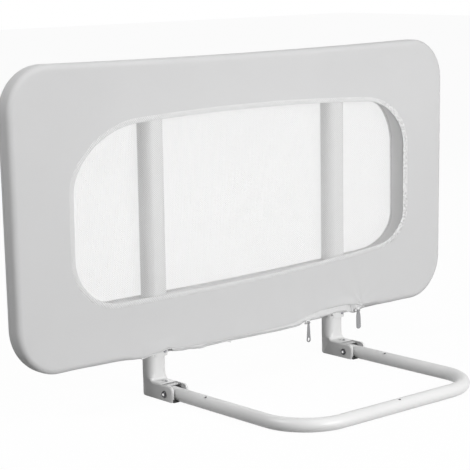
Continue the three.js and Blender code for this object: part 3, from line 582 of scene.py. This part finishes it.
# Frame hoop and crossbar: a bent and a straight steel tube inside the cover, coated white.
# They carry the foam and the cover, which hide them.
dress(white_coat, "frame_hoop", "frame_crossbar")


# Front of the cover: grey woven cloth, sewn to the window and drawn over the padded rim to the seam.
# It is lifted off the zip in front of the right post, and gathered at the outer slider.
cover_low, cover_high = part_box("cover_front")
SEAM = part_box("cover_back")[0].y
HALF_WIDTH = cover_high.x
FRONT_FACE = cover_low.y
TOP = cover_high.z
BOTTOM = cover_low.z + 10 * MM
TOP_SAG = 5.3 * MM
BOTTOM_SAG = 9.8 * MM
TAPER = 5 * MM
CORNER = 75 * MM
EDGE_ROUND = 9.5 * MM
LIP_ROUND = 4 * MM
CLOTH = 1.2 * MM
CORNER_STEPS, SIDE_STEPS, RUN_STEPS = 34, 44, 150
SIDE_RINGS, ROUND_RINGS, FACE_RINGS = 4, 9, 20
HEM = 9 * MM
HEM_LAP = 5 * MM
LIFT_REACH = 60 * MM
LIFT_ON_SIDE, LIFT_ON_FACE = (0, 0.8), (0.6, 0)
FACE_DIP = 1.2 * MM
SEAM_LAP = 0.4 * MM
LIP_LEFT, LIP_RIGHT = (-290 * MM, -226 * MM), (300 * MM, 258 * MM)
# A window's straight outline, its corners' (width, height, fullness), and how far the cloth's pull
# bows its top down and its bottom up towards the ends.
FRONT_WINDOW = (
    Vector((-363, 165.5)) * MM, Vector((368.6, 452.5)) * MM,
    {
        "lower right": (64 * MM, 62 * MM, 2.0), "upper right": (92 * MM, 90 * MM, 2.0),
        "upper left": (128 * MM, 100 * MM, 1.95), "lower left": (84 * MM, 84 * MM, 2.0),
    },
    14 * MM, 14 * MM,
)
WINDOW_BOW_REACH = 365 * MM
BOTTOM_BOW_START = -110 * MM
# The cloth's broad and fine humps: their height, and how many there are to the metre.
BROAD_RISE, BROAD_HUMPS = 0.6 * MM, 7
FINE_RISE, FINE_HUMPS = 0.2 * MM, 30
# The gathers that spread from the outer slider, and the rucks above the open zip.
GATHER_X, GATHER_Z, GATHER_FOLDS = 0.262, 0.079, 9
GATHER_RISE, GATHER_REACH = 1.5 * MM, 0.035
RUCK_RISE, RUCK_REACH, RUCK_Z = 0.9 * MM, 0.02, 0.085
RUCK_LEFT, RUCK_RIGHT = (-0.16, 0.0), (0.36, 0.24)
RUCK_ACROSS, RUCK_UP = 38, 14
# Where the cloth stands off what is under it: how far, and where that fades at the left, right and top.
OVER_SCREWS = (1.4 * MM, (-0.24, -0.225), (-0.17, -0.182), (0.095, 0.078))
OVER_ZIP = (1.6 * MM, (0.165, 0.185), (0.262, 0.248), (0.1, 0.088))
# The outline's corners, each with its side, its level and the angle that it starts at, and the runs
# between them.
CORNERS = {
    "lower right": (1, -1, -90), "upper right": (1, 1, 0),
    "upper left": (-1, 1, 90), "lower left": (-1, -1, 180),
}
RUNS = {
    "right": ("lower right", "upper right"),
    "top": ("upper right", "upper left"),
    "left": ("upper left", "lower left"),
    "bottom": ("lower left", "lower right"),
}
STATION_STEPS = (
    ("lower right", CORNER_STEPS), ("right", SIDE_STEPS), ("upper right", CORNER_STEPS),
    ("top", RUN_STEPS), ("upper left", CORNER_STEPS), ("left", SIDE_STEPS),
    ("lower left", CORNER_STEPS), ("bottom", RUN_STEPS),
)
STATIONS = [(part, step / steps) for part, steps in STATION_STEPS for step in range(steps)]
# Heights in mm of the front's lower edge above its plain sagging line, from the left to the right.
LIFTS = (
    (-440, 0), (-340, 3), (-273, 3.6), (-248, 2.4), (-238, 2), (-218, 5.3), (-203, 7), (-188, 10.4),
    (-181, 10.6), (-169, 8.6), (-155, 7.4), (-128, 5.8), (-101, 5.7), (-64, 6.2), (0, 6.2), (60, 7),
    (97, 9), (112, 12.4), (127, 14.6), (143, 17.2), (162, 19.2), (196, 20.2), (215, 19.9), (244, 16.8),
    (262, 11), (283, 7.7), (320, 4.1), (348, 3.1), (440, 0),
)


def along_line(line, x):
    """The height at x on a line of (x, height) knots in mm."""
    if x <= line[0][0] * MM:
        return line[0][1] * MM
    for (start, low), (end, high) in zip(line, line[1:]):
        if x <= end * MM:
            return (low + (high - low) * ease(x, start * MM, end * MM)) * MM
    return line[-1][1] * MM


def rounded_place(station, low, high, corners):
    """A station's X and Z on a rectangle whose corners are (width, height, fullness)."""
    part, share = station
    if part in RUNS:
        start = rounded_place((RUNS[part][0], 1), low, high, corners)
        end = rounded_place((RUNS[part][1], 0), low, high, corners)
        return start.lerp(end, share)
    side, level, first = CORNERS[part]
    wide, tall, fullness = corners[part]
    angle = math.radians(first + 90 * share)
    x = high.x - wide if side > 0 else low.x + wide
    y = high.y - tall if level > 0 else low.y + tall
    out_x = abs(math.cos(angle)) ** (2 / fullness) * wide
    out_y = abs(math.sin(angle)) ** (2 / fullness) * tall
    return Vector((x + side * out_x, y + level * out_y))


def panel_place(station, inset):
    """A station's X and Z on the panel's outline, which sags a little in the middle."""
    low = Vector((-HALF_WIDTH + inset, BOTTOM + inset))
    high = Vector((HALF_WIDTH - inset, TOP - inset))
    spot = rounded_place(station, low, high, dict.fromkeys(CORNERS, (CORNER - inset, CORNER - inset, 2)))
    share = (spot.y - BOTTOM) / (TOP - BOTTOM)
    middling = 1 - (spot.x / HALF_WIDTH) ** 2
    spot.y -= middling * (TOP_SAG * share + BOTTOM_SAG * (1 - share))
    spot.x *= 1 - TAPER / HALF_WIDTH * (1 - share)
    return spot


def window_place(window, station, outset):
    """A station's X and Z on a window's outline."""
    low, high, corners, top_bow, bottom_bow = window
    edge = Vector((outset, outset))
    corners = {
        name: (wide + outset, tall + outset, full) for name, (wide, tall, full) in corners.items()
    }
    spot = rounded_place(station, low - edge, high + edge, corners)
    share = (spot.y - low.y) / (high.y - low.y)
    spot.y -= top_bow * (spot.x / WINDOW_BOW_REACH) ** 2 * share
    spot.y += bottom_bow * (max(spot.x - BOTTOM_BOW_START, 0) / WINDOW_BOW_REACH) ** 2 * (1 - share)
    return spot


def shaped_grid(around, along, place):
    """A grid whose points are carried to place(step around, step along)."""
    work = bmesh.new()
    bmesh.ops.create_grid(work, x_segments=around, y_segments=along, size=0.5)
    for corner in work.verts:
        corner.co = place(round((corner.co.x + 0.5) * around), round((corner.co.y + 0.5) * along))
    return work


def zip_share(x):
    """1 where the lower edge is a thin lip above the zip, 0 where it rolls over the foam."""
    return ease(x, *LIP_LEFT) * ease(x, *LIP_RIGHT)


def cover_relief(x, z):
    """Small soft unevenness of the stretched cloth, towards the viewer."""
    broad = noise.noise(Vector((x * BROAD_HUMPS, 0, z * BROAD_HUMPS)))
    fine = noise.noise(Vector((x * FINE_HUMPS, 0, z * FINE_HUMPS)))
    relief = BROAD_RISE * broad + FINE_RISE * fine
    gather = Vector((x - GATHER_X, z - GATHER_Z))
    folds = math.sin(math.atan2(gather.y, gather.x) * GATHER_FOLDS)
    relief += GATHER_RISE * math.exp(-gather.length / GATHER_REACH) * folds
    near_zip = math.exp(-max(z - RUCK_Z, 0) / RUCK_REACH) * ease(x, *RUCK_LEFT) * ease(x, *RUCK_RIGHT)
    relief += RUCK_RISE * near_zip * noise.noise(Vector((x * RUCK_ACROSS, 3, z * RUCK_UP)))
    for rise, left, right, top in (OVER_SCREWS, OVER_ZIP):
        relief += rise * ease(x, *left) * ease(x, *right) * ease(z, *top)
    return relief


def front_place(step, ring):
    """The front cloth at a station: along the side, round the rim, and over the face to the window."""
    station = STATIONS[step % len(STATIONS)]
    side = min(ring / SIDE_RINGS, 1)
    turned = min(max((ring - SIDE_RINGS) / ROUND_RINGS, 0), 1) * math.pi / 2
    over = max((ring - SIDE_RINGS - ROUND_RINGS) / FACE_RINGS, 0)
    on_edge = panel_place(station, 0)
    lowness = ease(on_edge.y, BOTTOM + LIFT_REACH, BOTTOM)
    rounding = EDGE_ROUND + (LIP_ROUND - EDGE_ROUND) * zip_share(on_edge.x) * lowness
    spot = panel_place(station, rounding * (1 - math.cos(turned)))
    spot = spot.lerp(window_place(FRONT_WINDOW, station, HEM - HEM_LAP), over)
    spot.y += along_line(LIFTS, on_edge.x) * lowness * ease(over, *LIFT_ON_FACE) * ease(side, *LIFT_ON_SIDE)
    y = SEAM - SEAM_LAP + (FRONT_FACE + rounding - SEAM) * side
    if ring >= SIDE_RINGS:
        y = FRONT_FACE + rounding * (1 - math.sin(turned))
    y -= cover_relief(spot.x, spot.y) * math.sin(turned) - FACE_DIP * math.sin(over * math.pi)
    return spot.x, y, spot.y


def cloth(name, roughness):
    """Cloth with a little sheen."""
    return Finish(bpy.data.materials.new(name)).surface(Roughness=roughness, Sheen_Weight=0.1)


THREAD = 0.9 * MM
CLOTH_DARK, CLOTH_PALE = (0.625, 0.625, 0.627), (0.675, 0.675, 0.677)
grey_cloth = cloth("cover_cloth", 0.9).surface(Sheen_Roughness=0.5)
x, y, z = grey_cloth.place()
weave = (x * (math.tau / THREAD)).wave() * ((z + y) * (math.tau / THREAD)).wave()
tone = grey_cloth.noise(9, 4) * 0.6 + grey_cloth.noise(700, 2) * 0.4
grey_cloth.surface(Base_Color=grey_cloth.blend(tone, CLOTH_DARK, CLOTH_PALE))
grey_cloth.bump(weave * 0.5 + grey_cloth.noise(900, 2), 0.1 * MM, 0.5)

front_rings = SIDE_RINGS + ROUND_RINGS + FACE_RINGS
cover_front = add_piece(
    walled(shaped_grid(len(STATIONS), front_rings, front_place), CLOTH),
    "cover_front_cloth", grey_cloth, "guard", "grey_cloth", "cover_front",
)


# Rolled hem of the front's lower edge, along the zip: the cloth turned in and stitched.
# It is a little paler than the face, and tapers out before the right post.
ROLL_RADIUS = 1.0 * MM
ROLL_UNEVEN, ROLL_HUMPS = 0.25, 160
ROLL_SIDES = 8
ROLL_STEPS = 220
ROLL_START, ROLL_END = -240 * MM, 176 * MM
ROLL_TAPER, ROLL_TAPERED = 14 * MM, 0.9
ROLL_SET_BACK, ROLL_ABOVE = 1.4 * MM, 0.8 * MM
ROLL_FOLLOWS = 0.8
ROLL_DARK, ROLL_PALE = (0.64, 0.64, 0.64), (0.74, 0.74, 0.74)
hem_cloth = cloth("hem_cloth", 0.85)
hem_cloth.surface(Base_Color=hem_cloth.blend(hem_cloth.noise(120), ROLL_DARK, ROLL_PALE))
hem_cloth.bump(hem_cloth.noise(700, 2), 0.2 * MM, 0.5)


def plain_line(x):
    """The panel's own sagging lower line."""
    return BOTTOM - BOTTOM_SAG * (1 - (x / HALF_WIDTH) ** 2)


def lip_height(x):
    """The height of the front's lower edge."""
    return plain_line(x) + along_line(LIFTS, x)


def roll_place(step, ring):
    """A point of the roll, which follows the lip's line and face."""
    x = ROLL_START + (ROLL_END - ROLL_START) * ring / ROLL_STEPS
    angle = math.tau * step / ROLL_SIDES
    size = ROLL_RADIUS * (1 + ROLL_UNEVEN * noise.noise(Vector((x * ROLL_HUMPS, 5, 0))))
    size *= 1 - ROLL_TAPERED * ease(x, ROLL_END - ROLL_TAPER, ROLL_END)
    lip = lip_height(x)
    y = FRONT_FACE + ROLL_SET_BACK - cover_relief(x, lip) * ROLL_FOLLOWS
    return x, y + size * math.cos(angle), lip + ROLL_ABOVE + size * math.sin(angle)


work = shaped_grid(ROLL_SIDES, ROLL_STEPS, roll_place)
bmesh.ops.remove_doubles(work, verts=work.verts, dist=MERGE)
bmesh.ops.holes_fill(work, edges=[edge for edge in work.edges if edge.is_boundary])
bmesh.ops.recalc_face_normals(work, faces=work.faces)
rolled_hem = add_piece(work, "cover_front_rolled_hem", hem_cloth, "guard", "pale_cloth")


# Back of the cover: the same cloth and outline without the lifted edge, joined to the front at the seam.
# Its inner face, seen through the window, is made nearly white: painted light that lifts the shade inside
# the cover.
BACK_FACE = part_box("cover_back")[1].y
BACK_RELIEF = 0.6
BACK_WINDOW = (
    Vector((-360, 163)) * MM, Vector((373, 452.5)) * MM,
    {
        "lower right": (78 * MM, 62 * MM, 2.0), "upper right": (60 * MM, 90 * MM, 2.0),
        "upper left": (128 * MM, 100 * MM, 1.95), "lower left": (84 * MM, 84 * MM, 2.0),
    },
    14 * MM, 8 * MM,
)
INSIDE_LIGHTENED_DULL, INSIDE_LIGHTENED_BRIGHT = (0.92, 0.92, 0.92), (0.96, 0.96, 0.96)
INWARD = -0.3


def back_place(step, ring):
    """The back cloth at a station: round the rim, and over the face to the window."""
    station = STATIONS[step % len(STATIONS)]
    turned = min(ring / ROUND_RINGS, 1) * math.pi / 2
    over = max((ring - ROUND_RINGS) / FACE_RINGS, 0)
    spot = panel_place(station, EDGE_ROUND * (1 - math.cos(turned)))
    spot = spot.lerp(window_place(BACK_WINDOW, station, HEM - HEM_LAP), over)
    y = BACK_FACE - (BACK_FACE - SEAM) * (1 - math.sin(turned))
    relief = BACK_RELIEF * cover_relief(-spot.x, spot.y)
    y += relief * math.sin(turned) - FACE_DIP * math.sin(over * math.pi)
    return spot.x, y, spot.y


cover_back = add_piece(
    walled(shaped_grid(len(STATIONS), ROUND_RINGS + FACE_RINGS, back_place), CLOTH),
    "cover_back_cloth", grey_cloth, "guard", "grey_cloth", "cover_back",
)

# Nearly white inner face: painted light for the shaded inside of the cover.
inside_lightened = cloth("cover_inside_lightened", 0.85)
inside_lightened.surface(Base_Color=inside_lightened.blend(inside_lightened.noise(200), INSIDE_LIGHTENED_DULL, INSIDE_LIGHTENED_BRIGHT))
inside_lightened.bump(inside_lightened.noise(900, 2), 0.1 * MM, 0.5)
cover_back.data.materials.append(inside_lightened.owner)
for face in cover_back.data.polygons:
    if face.normal.y < INWARD:
        face.material_index = 1


# Edge padding: a soft foam ring between the frame and the cover, cut to lie round the hoop.
# It is drawn up with the front where its lower edge is lifted.
FOAM_DULL, FOAM_BRIGHT = (0.74, 0.74, 0.72), (0.82, 0.82, 0.8)
foam = Finish(bpy.data.materials.new("foam_white")).surface(Roughness=0.95)
foam.surface(Base_Color=foam.blend(foam.noise(300), FOAM_DULL, FOAM_BRIGHT))
foam.bump(foam.noise(900, 4), 0.3 * MM, 0.6)
FOAM_INSET, FOAM_GAP = 1.2 * MM, 1.5 * MM
FOAM_CUT = 20 * MM
FOAM_LIFT_REACH = 40 * MM
work = bmesh.new()
work.from_mesh(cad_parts["edge_padding"].data)
bmesh.ops.remove_doubles(work, verts=work.verts, dist=MERGE)
for cut in range(round(cover_low.x / FOAM_CUT), round(cover_high.x / FOAM_CUT)):
    everything = work.verts[:] + work.edges[:] + work.faces[:]
    bmesh.ops.bisect_plane(work, geom=everything, plane_co=(cut * FOAM_CUT, 0, 0), plane_no=(1, 0, 0))
for corner in work.verts:
    lift = along_line(LIFTS, corner.co.x) + FOAM_GAP
    corner.co.z += lift * ease(corner.co.z, BOTTOM + FOAM_LIFT_REACH, BOTTOM)
    share = (corner.co.z - BOTTOM) / (TOP - BOTTOM)
    corner.co.x *= 1 - (TAPER * (1 - share) + FOAM_INSET) / cover_high.x
padding = add_piece(work, "edge_padding_foam", foam, "guard", "foam", "edge_padding")


# Window nets: fine white knit, sewn under the hems in both faces. Its holes are cut out by the material.
# The back net is sewn in turned, so that the two don't run in step.
NET_ACROSS, NET_UP = 4.5 * MM, 3.3 * MM
NET_THICKNESS = 0.2 * MM
NET_LAP = 6 * MM
NET_SET_BACK = 0.9 * MM
NET_WHITE = (0.95, 0.95, 0.95, 1)
FRONT_THREAD, BACK_THREAD = 0.22, 0.08
TURNED_FINER = 1.4


def knit(name, turned, thread):
    """A knit, clear between its threads. A higher thread leaves less of it clear."""
    net = Finish(bpy.data.materials.new(name)).surface(Base_Color=NET_WHITE, Roughness=0.8)
    x, _, z = net.place()
    across, upwards = x * (math.pi / NET_ACROSS), z * (math.pi / NET_UP)
    one, other = across + upwards, across - upwards
    if turned:
        one, other = across * TURNED_FINER, upwards * TURNED_FINER
    net.surface(Alpha=abs(one.wave() * other.wave()).below(thread))
    return net


def sewn_net(name, window, face, finish, node):
    """A net cut to a window's outline, with a lap under its hem."""
    work = bmesh.new()
    outline = [window_place(window, station, NET_LAP) for station in STATIONS]
    work.faces.new([work.verts.new((spot.x, face, spot.y)) for spot in outline])
    return add_piece(walled(work, NET_THICKNESS), name, finish, "guard", "white_net", node)


front_knit = knit("net_front_knit", False, FRONT_THREAD)
back_knit = knit("net_back_knit", True, BACK_THREAD)
net_front = sewn_net("net_front", FRONT_WINDOW, FRONT_FACE + NET_SET_BACK, front_knit, "window_net_front")
net_back = sewn_net("net_back", BACK_WINDOW, BACK_FACE - NET_SET_BACK, back_knit, "window_net_back")


# Hems round the windows: a flat doubled strip of cloth, sewn down over the net's edge.
# It is dotted by its stitches, and crinkled where it is drawn on the right, where its random mottle is made
# stronger as painted light and shade of the crinkles.
HEM_RINGS = 8
HEM_RISE = 0.25 * MM
HEM_TUCK = 0.9 * MM
HEM_THICKNESS = 0.5 * MM
STITCH_STEP = 4.4 * MM
DOT_TONE, BETWEEN_DOTS = 0.55, 0.38
CRINKLE_START, CRINKLE_REACH = 0.3, 0.05
PLAIN_MOTTLE, CRINKLE_PAINTED_SHADE = 0.5, 2.3
HEM_DARK, HEM_PALE = (0.46, 0.46, 0.46), (0.9, 0.9, 0.9)
HEM_DRAWN, HEM_WIDENED = (0.29, 0.35), 4 * MM
CRINKLE_ACROSS, CRINKLE_UP = 120, 190
CRINKLE_RISE, CRINKLE_ASIDE = 2.4 * MM, 0.9 * MM
hem_tape = cloth("hem_tape", 0.85)
x, _, z = hem_tape.place()
step = math.pi / STITCH_STEP
dots = abs(((x + z) * step).wave() * ((x - z) * step).wave())
# Stronger mottle on the crinkled right: painted light and shade of the crinkles.
crinkle_shade_mask = ((x - CRINKLE_START) * (1 / CRINKLE_REACH)).within()
mottle_and_crinkle_shade = (hem_tape.noise(280, 2) - 0.5) * (crinkle_shade_mask * CRINKLE_PAINTED_SHADE + PLAIN_MOTTLE)
tone = (dots * DOT_TONE + BETWEEN_DOTS + mottle_and_crinkle_shade).within()
hem_tape.surface(Base_Color=hem_tape.blend(tone, HEM_DARK, HEM_PALE))
hem_tape.bump(dots + hem_tape.noise(300, 2), 0.5 * MM, 0.7)


def window_hem(name, window, face, out, node):
    """A window's hem on a face of the panel, where out is -1 on the front and 1 on the back."""

    def place(step, ring):
        share = ring / HEM_RINGS
        station = STATIONS[step % len(STATIONS)]
        drawn = ease(window_place(window, station, 0).x, *HEM_DRAWN)
        spot = window_place(window, station, (HEM + HEM_WIDENED * drawn) * share)
        crinkle = drawn * noise.noise(Vector((spot.x * CRINKLE_ACROSS, share * 4, spot.y * CRINKLE_UP)))
        crown = math.sin(share * math.pi)
        rise = HEM_RISE * crown ** 0.6 + CRINKLE_RISE * abs(crinkle) * crown
        relief = (1 if out < 0 else BACK_RELIEF) * cover_relief(-out * spot.x, spot.y)
        rise += relief - HEM_TUCK * share ** 3
        return spot.x + CRINKLE_ASIDE * crinkle, face + out * rise, spot.y

    work = walled(shaped_grid(len(STATIONS), HEM_RINGS, place), HEM_THICKNESS)
    return add_piece(work, name, hem_tape, "guard", "pale_cloth", node)


hem_front = window_hem("hem_front", FRONT_WINDOW, FRONT_FACE - HEM_THICKNESS, -1, "window_binding_front")
hem_back = window_hem("hem_back", BACK_WINDOW, BACK_FACE + HEM_THICKNESS, 1, "window_binding_back")


# Zips: pale woven tapes with a fine chain, sewn behind the front's lower edge.
# Between the two sliders the zip is open, and its tape shows in front of the right post.
TAPE = 0.5 * MM
# Heights in mm of the tape's lower fold, from the left to the right.
TAPE_LINE = (
    (-177, 70), (-169, 68.8), (-155, 67.3), (-142, 67.4), (-128, 65.6), (-115, 64.3), (-101, 65.7),
    (-64, 66.4), (0, 65.6), (60, 65), (97, 65.6), (106, 66.4), (117, 69.8), (127, 71.5), (149, 71.5),
    (160, 73.2), (183, 74), (196, 75.5), (215, 74.3), (231, 70.6), (242, 67.6), (250, 69.8), (262, 73),
    (285, 72), (400, 72),
)
TAPE_TUCK = (260 * MM, 285 * MM)
TAPE_BELOW_LIP = 1.5 * MM
TAPE_STEP = 2.5 * MM
TAPE_RIPPLE, RIPPLE_HUMPS = 0.4 * MM, 60
HOLLOW, HOLLOW_LEFT, HOLLOW_RIGHT = 3.5 * MM, (222 * MM, 232 * MM), (246 * MM, 240 * MM)
POST_REACH, POST_CLEAR = 23 * MM, 8 * MM
POST_PLACE = (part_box("upright_right")[0].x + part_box("upright_right")[1].x) / 2


def tape_profile(x):
    """(Y from the panel's front face, height) across the tape, from behind the lip to under the panel.

    Left of the outer slider the tape is shown, below the lip, and right of it is tucked under.
    """
    lip = lip_height(x)
    line = min(along_line(TAPE_LINE, x), lip - TAPE_BELOW_LIP)
    tucked = ease(x, *TAPE_TUCK)
    clear = ease(abs(abs(x) - POST_PLACE), POST_REACH, POST_REACH + POST_CLEAR)
    hollow = HOLLOW * ease(x, *HOLLOW_LEFT) * ease(x, *HOLLOW_RIGHT)
    shown = (
        (1.3, lip + 5 * MM), (1.3, lip - 0.4 * MM), (-0.9, lip + (line - lip) * 0.45),
        (-1.0, line + 1.2 * MM), (-0.2, line), (1.4 + 1.5 * clear, line + 0.2 * MM),
        (1.4 + 5 * clear, line + 1.5 * MM),
    )
    under = ((8, 1.2), (9, 0.7), (10, 0.3), (11.5, 0), (13, -0.2), (14.5, -0.3), (16, -0.3))
    free = 1 - tucked
    return [
        ((y * MM + hollow) * free + far * MM * tucked, z * free + (lip + drop * MM) * tucked)
        for (y, z), (far, drop) in zip(shown, under)
    ]


def tape(name, start, end, finish, node):
    """A zip's tape from start to end along the lower edge."""
    steps = round((end - start) / TAPE_STEP)
    count = len(tape_profile(0)) - 1

    def place(step, ring):
        x = start + (end - start) * step / steps
        y, z = tape_profile(x)[ring]
        ripple = TAPE_RIPPLE * noise.noise(Vector((x * RIPPLE_HUMPS, ring, 0)))
        return x, FRONT_FACE + y + ripple, z

    work = walled(shaped_grid(steps, count, place), TAPE)
    return add_piece(work, name, finish, "guard", "pale_cloth", node)


tape_inner = tape("zip_tape_inner", -177 * MM, 236 * MM, hem_cloth, "zip_inner")
tape_outer = tape("zip_tape_outer", 237 * MM, 400 * MM, grey_cloth, "zip_outer")

TOOTH_PITCH = 1.4 * MM
TOOTH_LONG, TOOTH_THICK = 0.8 * MM, 1.0 * MM
TOOTH_TALL, TOOTH_LOST = 2.6 * MM, 1.3 * MM
TOOTH_OUT, TOOTH_UP = 0.6 * MM, 0.3
CHAIN_POINT = 3
OPEN_LEFT, OPEN_RIGHT = (124 * MM, 132 * MM), (250 * MM, 242 * MM)
chain_finish = plastic("zip_chain", (0.68, 0.68, 0.68))


def chain(name, start, end, finish):
    """A row of small teeth along the tape: full height where closed, half where the zip is open."""
    work = bmesh.new()
    x = start
    while x < end:
        y, z = tape_profile(x)[CHAIN_POINT]
        opened = ease(x, *OPEN_LEFT) * ease(x, *OPEN_RIGHT)
        tall = TOOTH_TALL - TOOTH_LOST * opened
        tooth = bmesh.ops.create_cube(work, size=1)["verts"]
        bmesh.ops.scale(work, verts=tooth, vec=(TOOTH_LONG, TOOTH_THICK, tall))
        bmesh.ops.translate(work, verts=tooth, vec=(x, FRONT_FACE + y - TOOTH_OUT, z + tall * TOOTH_UP))
        x += TOOTH_PITCH
    return add_piece(work, name, finish, "guard", "pale_cloth")


chain_inner = chain("zip_chain_inner", -175 * MM, 235 * MM, chain_finish)
chain_outer = chain("zip_chain_outer", 239 * MM, 398 * MM, grey_cloth)


# Zip sliders and pulls: cast zinc, each pull hung on its slider.
# The inner pull is a long taper with an eye, and the outer one is leaf-shaped and a little broader.
SLIDER_EDGE, PULL_EDGE = 0.3 * MM, 0.2 * MM
slider_zinc = metal("slider_zinc", (0.95, 0.95, 0.95), 0.35).surface(Metallic=0.5)
pull_zinc = metal("pull_zinc", (0.3, 0.3, 0.31), 0.4)
PULL_WIDENED = 1.3


def widen(work, low, high):
    """Broadens the leaf-shaped pull about its middle."""
    middle = (low.x + high.x) / 2
    for corner in work.verts:
        corner.co.x = middle + (corner.co.x - middle) * PULL_WIDENED


for end, reshape in (("inner", None), ("outer", widen)):
    rounded_copy(f"zip_slider_{end}", slider_zinc, f"zip_slider_{end}", "zinc", SLIDER_EDGE)
    rounded_copy(f"zip_pull_{end}", pull_zinc, f"zip_pull_{end}", "zinc", PULL_EDGE, reshape)
